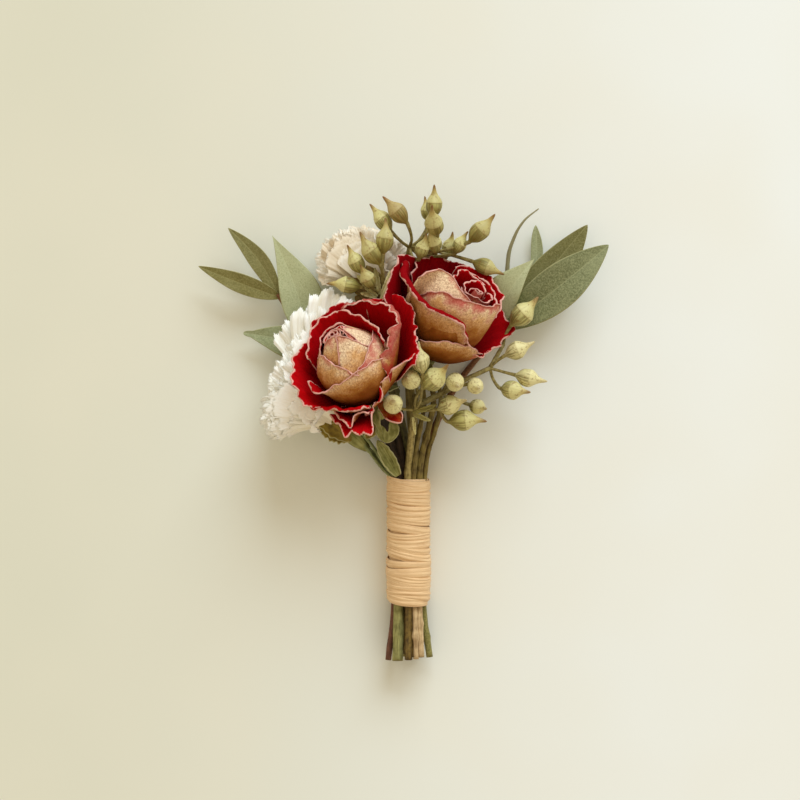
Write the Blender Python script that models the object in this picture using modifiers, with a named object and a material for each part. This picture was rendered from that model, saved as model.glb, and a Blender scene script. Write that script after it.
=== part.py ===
"""A small dried flower bouquet, lying on its back on a flat surface.

Two dried roses, two dried carnations, two sprays of beaked eucalyptus buds and two leafy
eucalyptus sprigs are held by a raffia wrap round their stems.

The script works in millimetres and scales each mesh to metres as it is made. +Z is up, away
from the surface. +Y runs from the cut stems to the flowers, and +X to the right as seen from
above. The origin is the middle of the bouquet's box, on the surface.
"""

import math
import random

import bmesh
import bpy
import numpy as np
from mathutils import Matrix, Vector

MM = 0.001

# The wrap and the bundle of stems inside it
BUNDLE_X = 1.9
BUNDLE_Z = 7.05
WRAP_BOTTOM_Y = -63.5
WRAP_TOP_Y = -18.5
WRAP_TURNS = 15
WRAP_CREST = 7.45  # outer radius on the middle of a band
WRAP_VALLEY = 7.05  # outer radius between two bands
WRAP_BORE = 6.62  # inner radius
WRAP_LIP = 0.3  # wall left at each end of the sleeve
WRAP_FLAT = 0.4  # height below which the wrap is pressed flat by its own weight
WRAP_SLANT = 0.1  # how far a band leans along the stems for each millimetre across them
STEM_RING = 4.35  # radius on which the outer stems stand in the wrap
OUTER_SLOTS = 7
CUT_END_Y = -82.3  # where the longest stems are cut
STRAIGHT_FROM = 3  # a stem has straightened this far inside the wrap's lower end
STRAIGHT_TO = 1.2  # and bends again this far beyond its upper end

BLADE = 0.7  # thickness of petals
LEAF = 0.8  # thickness of leaves and sepals
CLEARANCE = 0.49  # space kept clear round a bloom when a neighbour is cut back from it


def clear_scene():
    for old in list(bpy.data.objects):
        bpy.data.objects.remove(old)


def new_collection(name):
    made = bpy.data.collections.new(name)
    bpy.context.scene.collection.children.link(made)
    return made


def finish_of(name, colour, roughness):
    """A Principled BSDF with one colour and roughness, for a part that isn't metal."""
    made = bpy.data.materials.new(name)
    made.use_nodes = True
    shader = made.node_tree.nodes["Principled BSDF"]
    shader.inputs["Base Color"].default_value = (*colour, 1)
    shader.inputs["Roughness"].default_value = roughness
    shader.inputs["Metallic"].default_value = 0
    return made


def object_of(name, mesh, collection):
    made = bpy.data.objects.new(name, mesh)
    collection.objects.link(made)
    return made


def applied(piece):
    """The piece as its modifiers leave it, as a plain mesh, with the source object removed."""
    bpy.context.view_layer.update()
    graph = bpy.context.evaluated_depsgraph_get()
    mesh = bpy.data.meshes.new_from_object(piece.evaluated_get(graph))
    home = piece.users_collection[0]
    made = object_of(piece.name + "_applied", mesh, home)
    made.matrix_world = piece.matrix_world.copy()
    bpy.data.objects.remove(piece)
    return made


def welded(piece, within=0.001 * MM):
    """Joins the piece's coincident points and turns its faces outwards."""
    shape = bmesh.new()
    shape.from_mesh(piece.data)
    bmesh.ops.remove_doubles(shape, verts=shape.verts, dist=within)
    bmesh.ops.recalc_face_normals(shape, faces=shape.faces)
    shape.to_mesh(piece.data)
    shape.free()
    return piece


def warped_grid(name, columns, rows, place, thickness, collection):
    """A thin blade: a flat grid bent by place(u, v) in millimetres, then thickened.

    u runs from -1 to 1 across the blade and v from 0 at its root to 1 at its tip. The grid is
    cut into triangles before it is thickened, so both faces are cut alike."""
    shape = bmesh.new()
    bmesh.ops.create_grid(shape, x_segments=columns, y_segments=rows, size=1)
    for point in shape.verts:
        point.co = Vector(place(point.co.x, (point.co.y + 1) / 2)) * MM
    bmesh.ops.triangulate(shape, faces=shape.faces)
    mesh = bpy.data.meshes.new(name)
    shape.to_mesh(mesh)
    shape.free()
    blade = object_of(name, mesh, collection)
    skin = blade.modifiers.new("thickness", "SOLIDIFY")
    skin.thickness = thickness * MM
    skin.offset = 0
    return applied(blade)


def turned(name, profile, steps, collection):
    """A solid of revolution about Z. The profile runs from its top to its bottom, in
    millimetres, as (radius, height)."""
    mesh = bpy.data.meshes.new(name)
    points = [Vector((radius, 0, height)) * MM for radius, height in profile]
    edges = [(n, n + 1) for n in range(len(points) - 1)]
    mesh.from_pydata(points, edges, [])
    piece = object_of(name, mesh, collection)
    lathe = piece.modifiers.new("lathe", "SCREW")
    lathe.steps = steps
    lathe.render_steps = steps
    lathe.use_merge_vertices = True
    lathe.merge_threshold = 0.001 * MM
    return welded(applied(piece))


def smooth_route(points, spans):
    """Points on a smooth curve through the route's own points, so many to each stretch.

    Each coordinate's slope is the harmonic mean of its slopes on both sides, or none where
    they differ in sign, so a straight stretch stays straight and no bend overshoots."""
    knots = np.array(points, float)
    lengths = np.linalg.norm(np.diff(knots, axis=0), axis=1)[:, None]
    secants = np.diff(knots, axis=0) / lengths
    before, after = secants[:-1], secants[1:]
    total = np.where(before * after > 0, before + after, 1)
    inner = np.where(before * after > 0, 2 * before * after / total, 0)
    slopes = np.vstack([secants[:1], inner, secants[-1:]])
    found = []
    for n, span in enumerate(lengths[:, 0]):
        for t in np.arange(spans) / spans:
            found.append(
                (2 * t**3 - 3 * t**2 + 1) * knots[n]
                + (t**3 - 2 * t**2 + t) * span * slopes[n]
                + (3 * t**2 - 2 * t**3) * knots[n + 1]
                + (t**3 - t**2) * span * slopes[n + 1]
            )
    return [*found, knots[-1]]


def tube(name, points, radii, spans, collection, resolution=1):
    """A stem: a bevelled curve on a smooth route, with its radius at even steps along it."""
    data = bpy.data.curves.new(name, "CURVE")
    data.dimensions = "3D"
    data.bevel_depth = MM
    data.bevel_resolution = resolution
    data.use_fill_caps = True
    line = data.splines.new("POLY")
    route = smooth_route(points, spans)
    line.points.add(len(route) - 1)
    at = np.linspace(0, len(route) - 1, len(radii))
    for n, place in enumerate(route):
        line.points[n].co = (*(Vector(place) * MM), 1)
        line.points[n].radius = float(np.interp(n, at, radii))
    return welded(applied(object_of(name, data, collection)))


def frame_on(origin, axis, up):
    """A matrix whose Z is the axis and whose X leans towards up, at an origin in millimetres."""
    z = Vector(axis).normalized()
    x = (Vector(up) - Vector(up).dot(z) * z).normalized()
    y = z.cross(x)
    turn = Matrix((x, y, z)).transposed().to_4x4()
    return Matrix.Translation(Vector(origin) * MM) @ turn


def largest_shell(mesh):
    """Keeps the mesh's largest closed body: sealed hollows are filled and scraps dropped."""
    shape = bmesh.new()
    shape.from_mesh(mesh)
    bmesh.ops.triangulate(shape, faces=shape.faces)
    unseen = set(shape.faces)
    shells = []
    while unseen:
        shell = set()
        reached = [unseen.pop()]
        while reached:
            face = reached.pop()
            shell.add(face)
            for edge in face.edges:
                for other in edge.link_faces:
                    if other in unseen:
                        unseen.discard(other)
                        reached.append(other)
        volume = sum(
            face.verts[0].co.dot(face.verts[1].co.cross(face.verts[2].co)) / 6
            for face in shell
        )
        shells.append((volume, shell))
    shells.sort(key=lambda found: found[0])
    dropped = [face for _, shell in shells[:-1] for face in shell]
    bmesh.ops.delete(shape, geom=dropped, context="FACES")
    shape.to_mesh(mesh)
    shape.free()


def fuse(name, core, repeats, finish, home, cutters=(), solver="EXACT"):
    """One solid of a core and what grows from it, less the space its neighbours need."""
    gathered = new_collection(name + "_repeats")
    for piece in repeats:
        for place in list(piece.users_collection):
            place.objects.unlink(piece)
        gathered.objects.link(piece)
    union = core.modifiers.new("union", "BOOLEAN")
    union.operation = "UNION"
    union.operand_type = "COLLECTION"
    union.collection = gathered
    union.solver = solver
    for cutter in cutters:
        cut = core.modifiers.new("cut", "BOOLEAN")
        cut.operation = "DIFFERENCE"
        cut.object = cutter
        cut.solver = solver
    whole = applied(core)
    largest_shell(whole.data)
    for piece in list(gathered.objects):
        bpy.data.objects.remove(piece)
    bpy.data.collections.remove(gathered)
    for place in list(whole.users_collection):
        place.objects.unlink(whole)
    home.objects.link(whole)
    whole.name = name
    whole.data.name = name
    whole.data.materials.clear()
    whole.data.materials.append(finish)
    whole.data.shade_smooth()
    whole.data.set_sharp_from_angle(angle=math.radians(35))
    return whole


def on_profile(profile, share):
    """The point at this share of a smooth line through the profile's points."""
    knots = np.array(profile, float)
    at = share * (len(knots) - 1)
    n = min(int(at), len(knots) - 2)
    t = at - n
    before = knots[n - 1] if n else 2 * knots[0] - knots[1]
    after = knots[n + 2] if n + 2 < len(knots) else 2 * knots[-1] - knots[-2]
    a, b = knots[n], knots[n + 1]
    return 0.5 * (
        2 * a + (b - before) * t + (2 * before - 5 * a + 4 * b - after) * t**2
        + (3 * a - before - 3 * b + after) * t**3
    )


ROSE_COLUMNS = 5
ROSE_ROWS = 4
ROSE_ROOT = 0.42  # a rose petal's width at its root, as a share of its full width
ROSE_FULL_AT = 0.55  # share of its height at which it reaches that width
ROSE_RIPPLES = 2.5  # half waves from the middle of its rim to a side


def rose_petal(azimuth, half, profile, rounding, tuck, wave, name, collection):
    """A petal round the rose's own Z axis. The profile gives its middle line as (radius,
    height); half is half its angle, rounding how far its sides fall short of the middle,
    tuck how much further out one side stands, and wave the ripple of its rim."""
    middle = math.radians(azimuth)
    spread = math.radians(half)

    def place(u, v):
        share = v * (1 - rounding * abs(u) ** 2.4)
        radius, height = on_profile(profile, share)
        grown = math.sin(min(share / ROSE_FULL_AT, 1) * math.pi / 2)
        angle = middle + spread * (ROSE_ROOT + (1 - ROSE_ROOT) * grown) * u
        ripple = wave * v**3 * math.cos(ROSE_RIPPLES * math.pi * u + azimuth)
        radius += tuck * u * share + ripple
        return radius * math.cos(angle), radius * math.sin(angle), height

    return warped_grid(name, ROSE_COLUMNS, ROSE_ROWS, place, BLADE, collection)


# The closed heart of a rose, which fills the space between its petals' roots
ROSE_CORE = [(0, 28), (2.4, 27), (5.4, 20), (6.6, 12), (6.0, 5), (4.4, 0), (0, 0)]
# Where each stem stands in the wrap (its slot), how far it splays below the wrap, where it is
# cut, the points it passes on its way to the bloom, and its radii from the cut to the bloom.
# Each sepal: azimuth, how far it bends back, and its length. Each petal: azimuth and half
# angle in degrees, profile as (radius, height) from the root to the rim, rounding, tuck and
# wave. Azimuth 0 faces the viewer above the bouquet.
FRONT_ROSE = {
    "name": "rose_front",
    "base": (-11.5, 9.5, 24),
    "axis": (-0.39, 0.66, 0.64),
    "slot": 2,
    "splay": 1.1,
    "cut": CUT_END_Y,
    "way": [(-4, -9, 12.5)],
    "radii": [1.75, 1.7, 1.6],
    "sepals": [(100, 3, 10), (160, 0, 9), (225, 0, 9), (290, 2, 11.5), (345, 6, 11.5)],
    "petals": [
        (200, 118, [(2, 1), (6.5, 8), (7.8, 18), (5, 28), (3.2, 32.5)], 0.12, 0.9, 0.2),
        (75, 112, [(2, 1), (8, 7), (9.4, 17), (7, 26.5), (5.6, 31)], 0.14, 1.0, 0.3),
        (310, 106, [(2, 1), (9, 6), (10.6, 16), (8.6, 25), (7.8, 29.5)], 0.16, 1.0, 0.3),
        (170, 96, [(2, 1), (9.8, 6), (11.6, 15), (10.4, 24), (10.4, 28.5)], 0.18, 0.9, 0.3),
        (25, 90, [(2, 1), (10.4, 4.5), (12.6, 12.5), (11.8, 20), (11.6, 24)], 0.25, 0.9, 0.3),
        (262, 56, [(2.5, 0.8), (11.5, 4), (15.2, 13), (16.6, 20), (19, 25)], 0.22, 1, 0.8),
        (205, 50, [(2.5, 0.8), (11.6, 6), (13.8, 16), (14.2, 22), (15, 26)], 0.2, 1, 0.6),
        (152, 48, [(2.5, 0.8), (12, 5), (16.6, 13), (19, 18.5), (22, 23)], 0.22, 1, 0.8),
        (98, 48, [(2.5, 0.7), (13, 4), (17.4, 9.5), (19.6, 13.5), (21.6, 17)], 0.24, 1, 0.8),
        (48, 48, [(2.5, 0.7), (12, 2.8), (15.8, 8), (17.5, 12), (20, 13)], 0.22, 1, 0.8),
        (332, 44, [(2.5, 0.6), (12, 1.6), (17, 5), (20.5, 8.5), (24.5, 7.5)], 0.24, 1, 1.2),
        (306, 48, [(2.5, 0.6), (12, 3), (15.6, 9), (17, 14), (20, 16)], 0.2, 1, 0.8),
    ],
}
REAR_ROSE = {
    "name": "rose_rear",
    "base": (8, 24.3, 17),
    "axis": (0.481, 0.748, 0.454),
    "slot": 7,
    "splay": 1.05,
    "cut": CUT_END_Y + 1.2,
    "way": [(3.5, -6, 10.2)],
    "radii": [1.75, 1.7, 1.6],
    "sepals": [(40, 5, 11.5), (140, 1, 9), (200, 1, 9), (255, 3, 10), (320, 5, 11.5)],
    "petals": [
        (160, 118, [(2, 1), (6.5, 8), (8.2, 18), (6, 27), (4.6, 31)], 0.12, 0.9, 0.3),
        (30, 112, [(2, 1), (8, 7), (10, 17), (8.6, 26), (7.6, 30)], 0.14, 1.0, 0.3),
        (270, 106, [(2, 1), (9, 6), (11.4, 16), (10.4, 25), (10, 29)], 0.16, 1.0, 0.3),
        (130, 96, [(2, 1), (9.8, 6), (12.2, 15), (12, 24), (12.4, 28)], 0.18, 0.9, 0.4),
        (10, 88, [(2, 1), (10.4, 4.5), (13, 12.5), (12.8, 20), (12.8, 25)], 0.25, 0.9, 0.3),
        (318, 62, [(2.5, 0.8), (11, 4), (14.2, 12), (14.6, 20), (16.5, 25)], 0.2, 1.2, 0.6),
        (262, 44, [(2.5, 0.8), (12, 4), (16.6, 11), (20, 17), (24.2, 22)], 0.22, 1, 0.9),
        (210, 48, [(2.5, 0.8), (12, 6), (15.2, 16), (16, 24), (18, 29)], 0.2, 1, 0.8),
        (152, 50, [(2.5, 0.8), (12, 6), (15.8, 15), (17.4, 22), (20, 27)], 0.22, 1, 0.8),
        (92, 46, [(2.5, 0.8), (12, 4), (16.5, 11), (19.5, 18), (23.5, 25)], 0.2, 1, 0.9),
        (44, 38, [(2.5, 0.7), (10.5, 1.6), (14.2, 5), (15.2, 8.4), (17.4, 9)], 0.22, 0.8, 0.7),
    ],
}
# The receptacle under a rose, joined to its stem, as (radius, height) below the bloom
HIP = [(0, -0.7), (3.7, -0.7), (4.3, -2.2), (3.9, -5), (2.3, -8), (0, -9.5)]
ROSE_NECK = (12, 6)  # distances below the bloom at which the stem has joined its axis
SEPAL_ROOT = (2.6, -2.3)  # radius and height at which a sepal leaves the hip
SEPAL_WIDTH = 3.6
SEPAL_TAPER = 0.86
SEPAL_CUP = 0.25


def rose_sepal(azimuth, bend, length, name, collection):
    """A narrow green sepal that leaves the hip and bends back towards the stem."""
    middle = math.radians(azimuth)

    def place(u, v):
        radius = SEPAL_ROOT[0] + length * v * (1 - 0.2 * v)
        height = SEPAL_ROOT[1] - bend * v**1.6
        side = u * (SEPAL_WIDTH / 2) * (1 - SEPAL_TAPER * v**1.4)
        return (
            radius * math.cos(middle) - side * math.sin(middle),
            radius * math.sin(middle) + side * math.cos(middle),
            height + SEPAL_CUP * abs(u),
        )

    return warped_grid(name, 2, 3, place, LEAF, collection)


def rose_frame(rose):
    return frame_on(rose["base"], rose["axis"], (0, 0, 1))


def rose_bloom(rose, finish, home, bench):
    core = turned(rose["name"] + "_core", ROSE_CORE, 10, bench)
    petals = [
        rose_petal(*petal, f"{rose['name']}_petal_{n}", bench)
        for n, petal in enumerate(rose["petals"])
    ]
    bloom = fuse(rose["name"] + "_petals", core, petals, finish, home)
    bloom.matrix_world = rose_frame(rose)
    return bloom


def rose_stalk(rose, finish, home, bench):
    """The rose's hip, sepals and stem."""
    frame = rose_frame(rose)
    hip = turned(rose["name"] + "_hip", HIP, 9, bench)
    hip.matrix_world = frame
    grown = [
        rose_sepal(*sepal, f"{rose['name']}_sepal_{n}", bench)
        for n, sepal in enumerate(rose["sepals"])
    ]
    for sepal in grown:
        sepal.matrix_world = frame
    base, axis = Vector(rose["base"]), Vector(rose["axis"]).normalized()
    neck = [base - axis * below for below in ROSE_NECK]
    route = [*in_bundle(rose), *rose["way"], *neck]
    grown.append(tube(rose["name"] + "_cane", route, rose["radii"], 2, bench, 2))
    return fuse(rose["name"] + "_stem", hip, grown, finish, home)


def envelope(bloom, collection):
    """The bloom's convex hull, larger by the clearance: the space that it keeps for itself."""
    shape = bmesh.new()
    for point in bloom.data.vertices:
        shape.verts.new(point.co)
    bmesh.ops.convex_hull(shape, input=shape.verts)
    loose = [point for point in shape.verts if not point.link_faces]
    bmesh.ops.delete(shape, geom=loose, context="VERTS")
    bmesh.ops.recalc_face_normals(shape, faces=shape.faces)
    shape.normal_update()
    for point in shape.verts:
        point.co += point.normal * CLEARANCE * MM
    mesh = bpy.data.meshes.new(bloom.name + "_envelope")
    shape.to_mesh(mesh)
    shape.free()
    space = object_of(mesh.name, mesh, collection)
    space.matrix_world = bloom.matrix_world.copy()
    space.hide_render = True
    space.display_type = "WIRE"
    return space


# Each carnation: where its petals leave the calyx, the way it faces, its stem as for a rose,
# the heights between which it is pressed flat, how much longer its right-hand petals are, and
# each ring of petals as (count, tilt, length, width)
CARNATION_LEFT = {
    "name": "carnation_left",
    "throat": (-19.5, -2.5, 11.5),
    "axis": (-0.62, 0.76, 0.2),
    "slot": 3,
    "splay": 1.15,
    "cut": CUT_END_Y - 0.2,
    "way": [],
    "radii": [1.7, 1.7, 1.3],
    "floor": 6.4,
    "ceiling": 24,
    "longer": 10,
    "rings": [(2, 10, 38, 20), (4, 27, 38, 22), (7, 45, 38, 23)],
}
CARNATION_TOP = {
    "name": "carnation_top",
    "throat": (-9, 41, 8.5),
    "axis": (-0.28, 0.95, 0.12),
    "slot": 0,
    "splay": 1,
    "cut": CUT_END_Y + 2,
    "way": [(-0.5, -2, 6.4), (-4, 16, 5.4)],
    "radii": [2.1, 2.1, 1.3],
    "floor": 4.4,
    "ceiling": 17,
    "longer": -3,
    "rings": [(2, 10, 28, 17), (3, 22, 29, 18), (5, 36, 28, 18)],
}
PETAL_COLUMNS = 6
PETAL_ROWS = 2
PETAL_TOOTH = 0.035  # how far the teeth of its rim stand out and in, as a share of its length
PETAL_CLAW = 0.14  # its width at the root, as a share of its full width
PETAL_RUFFLE = 0.07  # height of its ruffles at the rim, as a share of its width
CLAW_RADIUS = 1.4  # the petals leave the calyx on a circle this large
RING_TURN = 47  # each ring of petals is turned this far from the one inside it
RIGHT_TUCK = 0.25  # the petals on the right lean out this much less
PRESSED = 4  # height over which a petal bends level near the floor or ceiling
CLAW_CORE = [(0, 9), (2.6, 8), (3.4, 3), (3, -0.6), (0, -0.6)]
CALYX = [(0, -1.1), (3.1, -1.1), (3.6, -3.5), (3.4, -9), (2.4, -13), (0, -14.5)]
CARNATION_NECK = (18, 10)


def carnation_petal(flower, frame, tilt, azimuth, length, width, phase, name, collection):
    """A fan-shaped petal on a narrow claw, ruffled, with a toothed rim."""
    lean = math.radians(tilt)
    turn = math.radians(azimuth)

    def place(u, v):
        column = round((u + 1) / 2 * PETAL_COLUMNS)
        tooth = PETAL_TOOTH * (-1) ** column if v > 0.99 else 0
        angle = lean * (0.45 + 0.55 * v)
        reach = length * v * (1 + tooth - 0.1 * u * u)
        ruffle = width * PETAL_RUFFLE * v * v * math.sin(1.6 * math.pi * u + phase)
        out = CLAW_RADIUS + reach * math.sin(angle) + ruffle * math.cos(angle)
        along = reach * math.cos(angle) - ruffle * math.sin(angle)
        side = u * width / 2 * (PETAL_CLAW + (1 - PETAL_CLAW) * v**1.2)
        local = Vector((
            out * math.cos(turn) - side * math.sin(turn),
            out * math.sin(turn) + side * math.cos(turn),
            along,
        ))
        world = frame @ (local * MM) / MM
        above = world.z - flower["floor"] - PRESSED
        if above < 0:
            world.z -= above - PRESSED * (math.exp(above / PRESSED) - 1)
        below = flower["ceiling"] - PRESSED - world.z
        if below < 0:
            world.z += below - PRESSED * (math.exp(below / PRESSED) - 1)
        return world

    return warped_grid(name, PETAL_COLUMNS, PETAL_ROWS, place, BLADE, collection)


def carnation_bloom(flower, finish, home, bench, cutters):
    """The carnation's rings of petals, cut back from the space that the roses need."""
    rng = random.Random(flower["name"])
    frame = frame_on(flower["throat"], flower["axis"], (0, 0, 1))
    core = turned(flower["name"] + "_core", CLAW_CORE, 8, bench)
    core.matrix_world = frame
    petals = []
    for ring, (count, tilt, length, width) in enumerate(flower["rings"]):
        for n in range(count):
            azimuth = 360 * (n + rng.uniform(-0.14, 0.14)) / count + RING_TURN * ring
            right = math.sin(math.radians(azimuth))
            lean = tilt * rng.uniform(0.9, 1.08) * (1 - RIGHT_TUCK * max(right, 0))
            reach = length * rng.uniform(0.95, 1.04) + flower["longer"] * right
            name = f"{flower['name']}_petal_{ring}_{n}"
            phase = rng.uniform(0, 6)
            petals.append(
                carnation_petal(flower, frame, lean, azimuth, reach, width, phase, name, bench)
            )
    # EXACT leaves this bloom touching itself along an edge where ruffled petals cross
    return fuse(flower["name"] + "_petals", core, petals, finish, home, cutters, "MANIFOLD")


def carnation_stalk(flower, finish, home, bench):
    """The carnation's tubular calyx and its stem."""
    calyx = turned(flower["name"] + "_calyx", CALYX, 9, bench)
    calyx.matrix_world = frame_on(flower["throat"], flower["axis"], (0, 0, 1))
    throat, axis = Vector(flower["throat"]), Vector(flower["axis"]).normalized()
    neck = [throat - axis * below for below in CARNATION_NECK]
    route = [*in_bundle(flower), *flower["way"], *neck]
    stem = tube(flower["name"] + "_cane", route, flower["radii"], 2, bench, 2)
    return fuse(flower["name"] + "_stem", calyx, [stem], finish, home)


# A bud of seeded eucalyptus, from the tip of its beak to its foot, as (radius, height)
POD = [(0, 11.8), (0.6, 10.4), (1.3, 8), (3, 6.8), (3.6, 5.3), (3.1, 3.3), (1.2, 1), (0, 0.3)]
POD_MIDDLE = 4.7  # height of the middle of a bud's body above its foot
PEDICEL = 0.62  # radius of the stalk under a bud
PEDICEL_BOW = 0.16
TWIG_RADII = [0.8, 0.7]

# The buds, each as (x, y, z, heading, lift, size): the middle of its body, the way its beak
# points as degrees round from +X and up from level, and its size. Each group shares a joint.
SPRAY_TOP = {
    "name": "spray_top",
    "slot": 5,
    "splay": 1.15,
    "cut": CUT_END_Y + 0.6,
    "radii": [1.7, 1.5, 1.1, 0.8],
    "way": [(4, 0, 4.6), (1.5, 20, 4.6), (-1.5, 36, 5), (0, 49, 9), (2.2, 60.4, 15.5)],
    "twigs": [[(-1.5, 36, 5), (-3, 42, 13), (-6.9, 45.2, 20)]],
    "groups": [
        ((2.2, 60.4, 15.5), [
            (-1.9, 71.9, 24, 131, 6, 1.05),
            (10.6, 74.8, 20, 88, 6, 0.97),
            (10.5, 67.6, 28, 108, 44, 1.1),
            (26.3, 65.6, 22, 45, 12, 1.1),
            (15.8, 60.5, 14, 72, 24, 0.85),
            (10.3, 61.6, 22, 106, 44, 1.0),
            (5.3, 59.6, 24, 71, 17, 0.95),
        ]),
        ((-6.9, 45.2, 20), [
            (-7.0, 69.4, 21, 127, 0, 1.0),
            (-6.2, 62.4, 26, 83, 6, 1.05),
            (-10.9, 58.2, 26, 126, 12, 1.1),
            (-16.0, 54.9, 24, 118, 17, 0.95),
            (-19.1, 47.2, 22, 170, 0, 1.0),
            (-12.0, 49.1, 25, 119, 30, 0.9),
        ]),
    ],
}
SPRAY_FRONT = {
    "name": "spray_front",
    "slot": 1,
    "splay": 1.05,
    "cut": CUT_END_Y + 2.4,
    "radii": [1.7, 1.5, 1.2, 0.8],
    "way": [(2.6, -8, 14.5), (4.3, 4.5, 18), (13, 10, 19), (22.7, 15.5, 17), (29.9, 18.9, 15)],
    "twigs": [[(29.9, 18.9, 15), (34.6, 27, 12.5)]],
    "groups": [
        ((4.3, 4.5, 18), [
            (5.8, 21.2, 34, 100, 17, 0.95),
            (2.8, 14.7, 31, 167, 72, 1.0),
            (10.5, 15.0, 31, 38, 30, 1.15),
            (-3.4, 6.5, 28, -141, -64, 1.0),
            (16.0, 6.2, 23, 20, 30, 1.0),
        ]),
        ((13, 10, 19), [
            (17.6, 14.0, 27, -72, 72, 0.95),
            (24.6, 12.7, 24, -45, 72, 0.85),
            (20.9, 1.0, 19, 6, 6, 1.1),
            (25.6, 5.6, 16, -14, 53, 0.8),
        ]),
        ((29.9, 18.9, 15), [
            (39.1, 25.0, 18, 24, 12, 0.95),
            (43.0, 15.5, 16, -13, 6, 0.95),
            (37.6, 11.3, 17, -8, 37, 1.0),
        ]),
        ((34.6, 27, 12.5), [(41.2, 37.5, 14.4, 44, 10, 1.15)]),
    ],
}


def direction(heading, lift):
    flat = math.cos(math.radians(lift))
    return Vector((
        flat * math.cos(math.radians(heading)),
        flat * math.sin(math.radians(heading)),
        math.sin(math.radians(lift)),
    ))


def pod_with_pedicel(middle, heading, lift, size, joint, name, collection):
    """A beaked bud and the short stalk that joins it to its spray."""
    beak = direction(heading, lift)
    foot = Vector(middle) - beak * POD_MIDDLE * size
    pod = turned(name, POD, 6, collection)
    pod.matrix_world = frame_on(foot, beak, (0.1, 0.2, 1)) @ Matrix.Scale(size, 4)
    joint = Vector(joint)
    gap = (foot - joint).length
    route = [joint, joint.lerp(foot, 0.5) - beak * gap * PEDICEL_BOW, foot + beak * 1.6]
    return [pod, tube(name + "_stalk", route, [PEDICEL], 1, collection)]


def spray(data, finish, home, bench):
    """A spray of beaked buds on its stem."""
    route = [*in_bundle(data), *data["way"]]
    stem = tube(data["name"] + "_cane", route, data["radii"], 2, bench, 2)
    grown = [
        tube(f"{data['name']}_twig_{n}", route, TWIG_RADII, 2, bench)
        for n, route in enumerate(data["twigs"])
    ]
    for n, (joint, pods) in enumerate(data["groups"]):
        for k, (x, y, z, heading, lift, size) in enumerate(pods):
            name = f"{data['name']}_pod_{n}_{k}"
            grown += pod_with_pedicel((x, y, z), heading, lift, size, joint, name, bench)
    return fuse(data["name"], stem, grown, finish, home)


# Each leaf: its foot, its tip, its width, how far its middle rises, how far it bows sideways
# and how deep its fold is
SPRIG_LEFT = {
    "name": "leaf_sprig_left",
    "slot": 4,
    "splay": 1.2,
    "cut": CUT_END_Y + 0.9,
    "radii": [1.6, 1.4, 1.2, 0.9],
    "way": [(-4, -8, 2.7), (-14, 6, 1.4), (-26, 20, 1.3), (-34, 30, 2.2), (-43.6, 44.8, 6)],
    "leaves": [
        ((-42.5, 43.5, 5.5), (-71, 54.3, 9), 7, 2, 1.6, 0.8),
        ((-43, 44, 5.6), (-60.6, 67.5, 10), 6.8, 1.5, 2, 0.8),
        ((-37, 34, 3.2), (-44.8, 64.1, 9.5), 13.5, 0, -2, 1),
        ((-33, 28.5, 2.2), (-26.5, 45.1, 3.4), 7, 0.5, 0, 0.5),
        ((-30, 25, 1.8), (-55.7, 30.4, 7), 11, 0, -3, 1.2),
    ],
}
SPRIG_RIGHT = {
    "name": "leaf_sprig_right",
    "slot": 6,
    "splay": 1.2,
    "cut": CUT_END_Y,
    "radii": [1.6, 1.4, 1.2, 0.9],
    "way": [(9.5, -6, 3.6), (18, 12, 1.4), (28, 25, 1.2), (35.5, 35, 4.5)],
    "leaves": [
        ((34.5, 33.5, 4.3), (70.7, 61, 14), 16.5, 4, -2, 1.8),
        ((33.5, 32.5, 3.8), (63.7, 68.2, 7), 12.5, -0.5, 2, 1),
        ((34, 33, 4), (44.6, 55.3, 13), 9, 2, -1, 1),
        ((34, 33, 3.2), (46.1, 68.5, 3), 4.6, -1, -4.5, 0.5),
        ((32, 30, 2.4), (46.3, 73.5, 9), 2.6, -1, 5, 0.3),
    ],
}


LEAF_ROOT = 0.1  # a leaf's width at its foot, as a share of its full width
LEAF_TIP_FROM = 0.9  # share of its length where it narrows to its point
LEAF_TIP = 0.35  # half its width at the point


def leaf(foot, tip, width, rise, bow, fold, name, collection):
    """A lance-shaped leaf, lightly folded along its midrib."""
    foot, tip = Vector(foot), Vector(tip)
    along = tip - foot
    across = Vector((0, 0, 1)).cross(along).normalized()

    def place(u, v):
        arch = math.sin(math.pi * v)
        lance = math.sin(math.pi * min(v * 1.02, 1) ** 0.85) ** 0.8
        narrowing = 0.55 * max(v - LEAF_TIP_FROM, 0) / (1 - LEAF_TIP_FROM)
        half = width / 2 * (LEAF_ROOT + (1 - LEAF_ROOT) * lance) * (1 - narrowing)
        half = max(half, LEAF_TIP)
        middle = foot + along * v + across * bow * arch
        middle.z += rise * arch
        return middle + across * half * u + Vector((0, 0, fold * abs(u) * half / width * 2))

    return warped_grid(name, 2, 6, place, LEAF, collection)


def sprig(data, finish, home, bench):
    """A leafy twig."""
    route = [*in_bundle(data), *data["way"]]
    stem = tube(data["name"] + "_twig", route, data["radii"], 2, bench, 2)
    leaves = [
        leaf(*shape, f"{data['name']}_leaf_{n}", bench)
        for n, shape in enumerate(data["leaves"])
    ]
    return fuse(data["name"], stem, leaves, finish, home)


def bundle_place(slot):
    """Where a stem stands in the wrap, as (x, z): slot 0 is the middle, and the others run
    round it from the top by way of the left."""
    if slot == 0:
        return BUNDLE_X, BUNDLE_Z
    angle = math.radians(90 + 360 / OUTER_SLOTS * (slot - 1))
    return BUNDLE_X + STEM_RING * math.cos(angle), BUNDLE_Z + STEM_RING * math.sin(angle)


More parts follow.
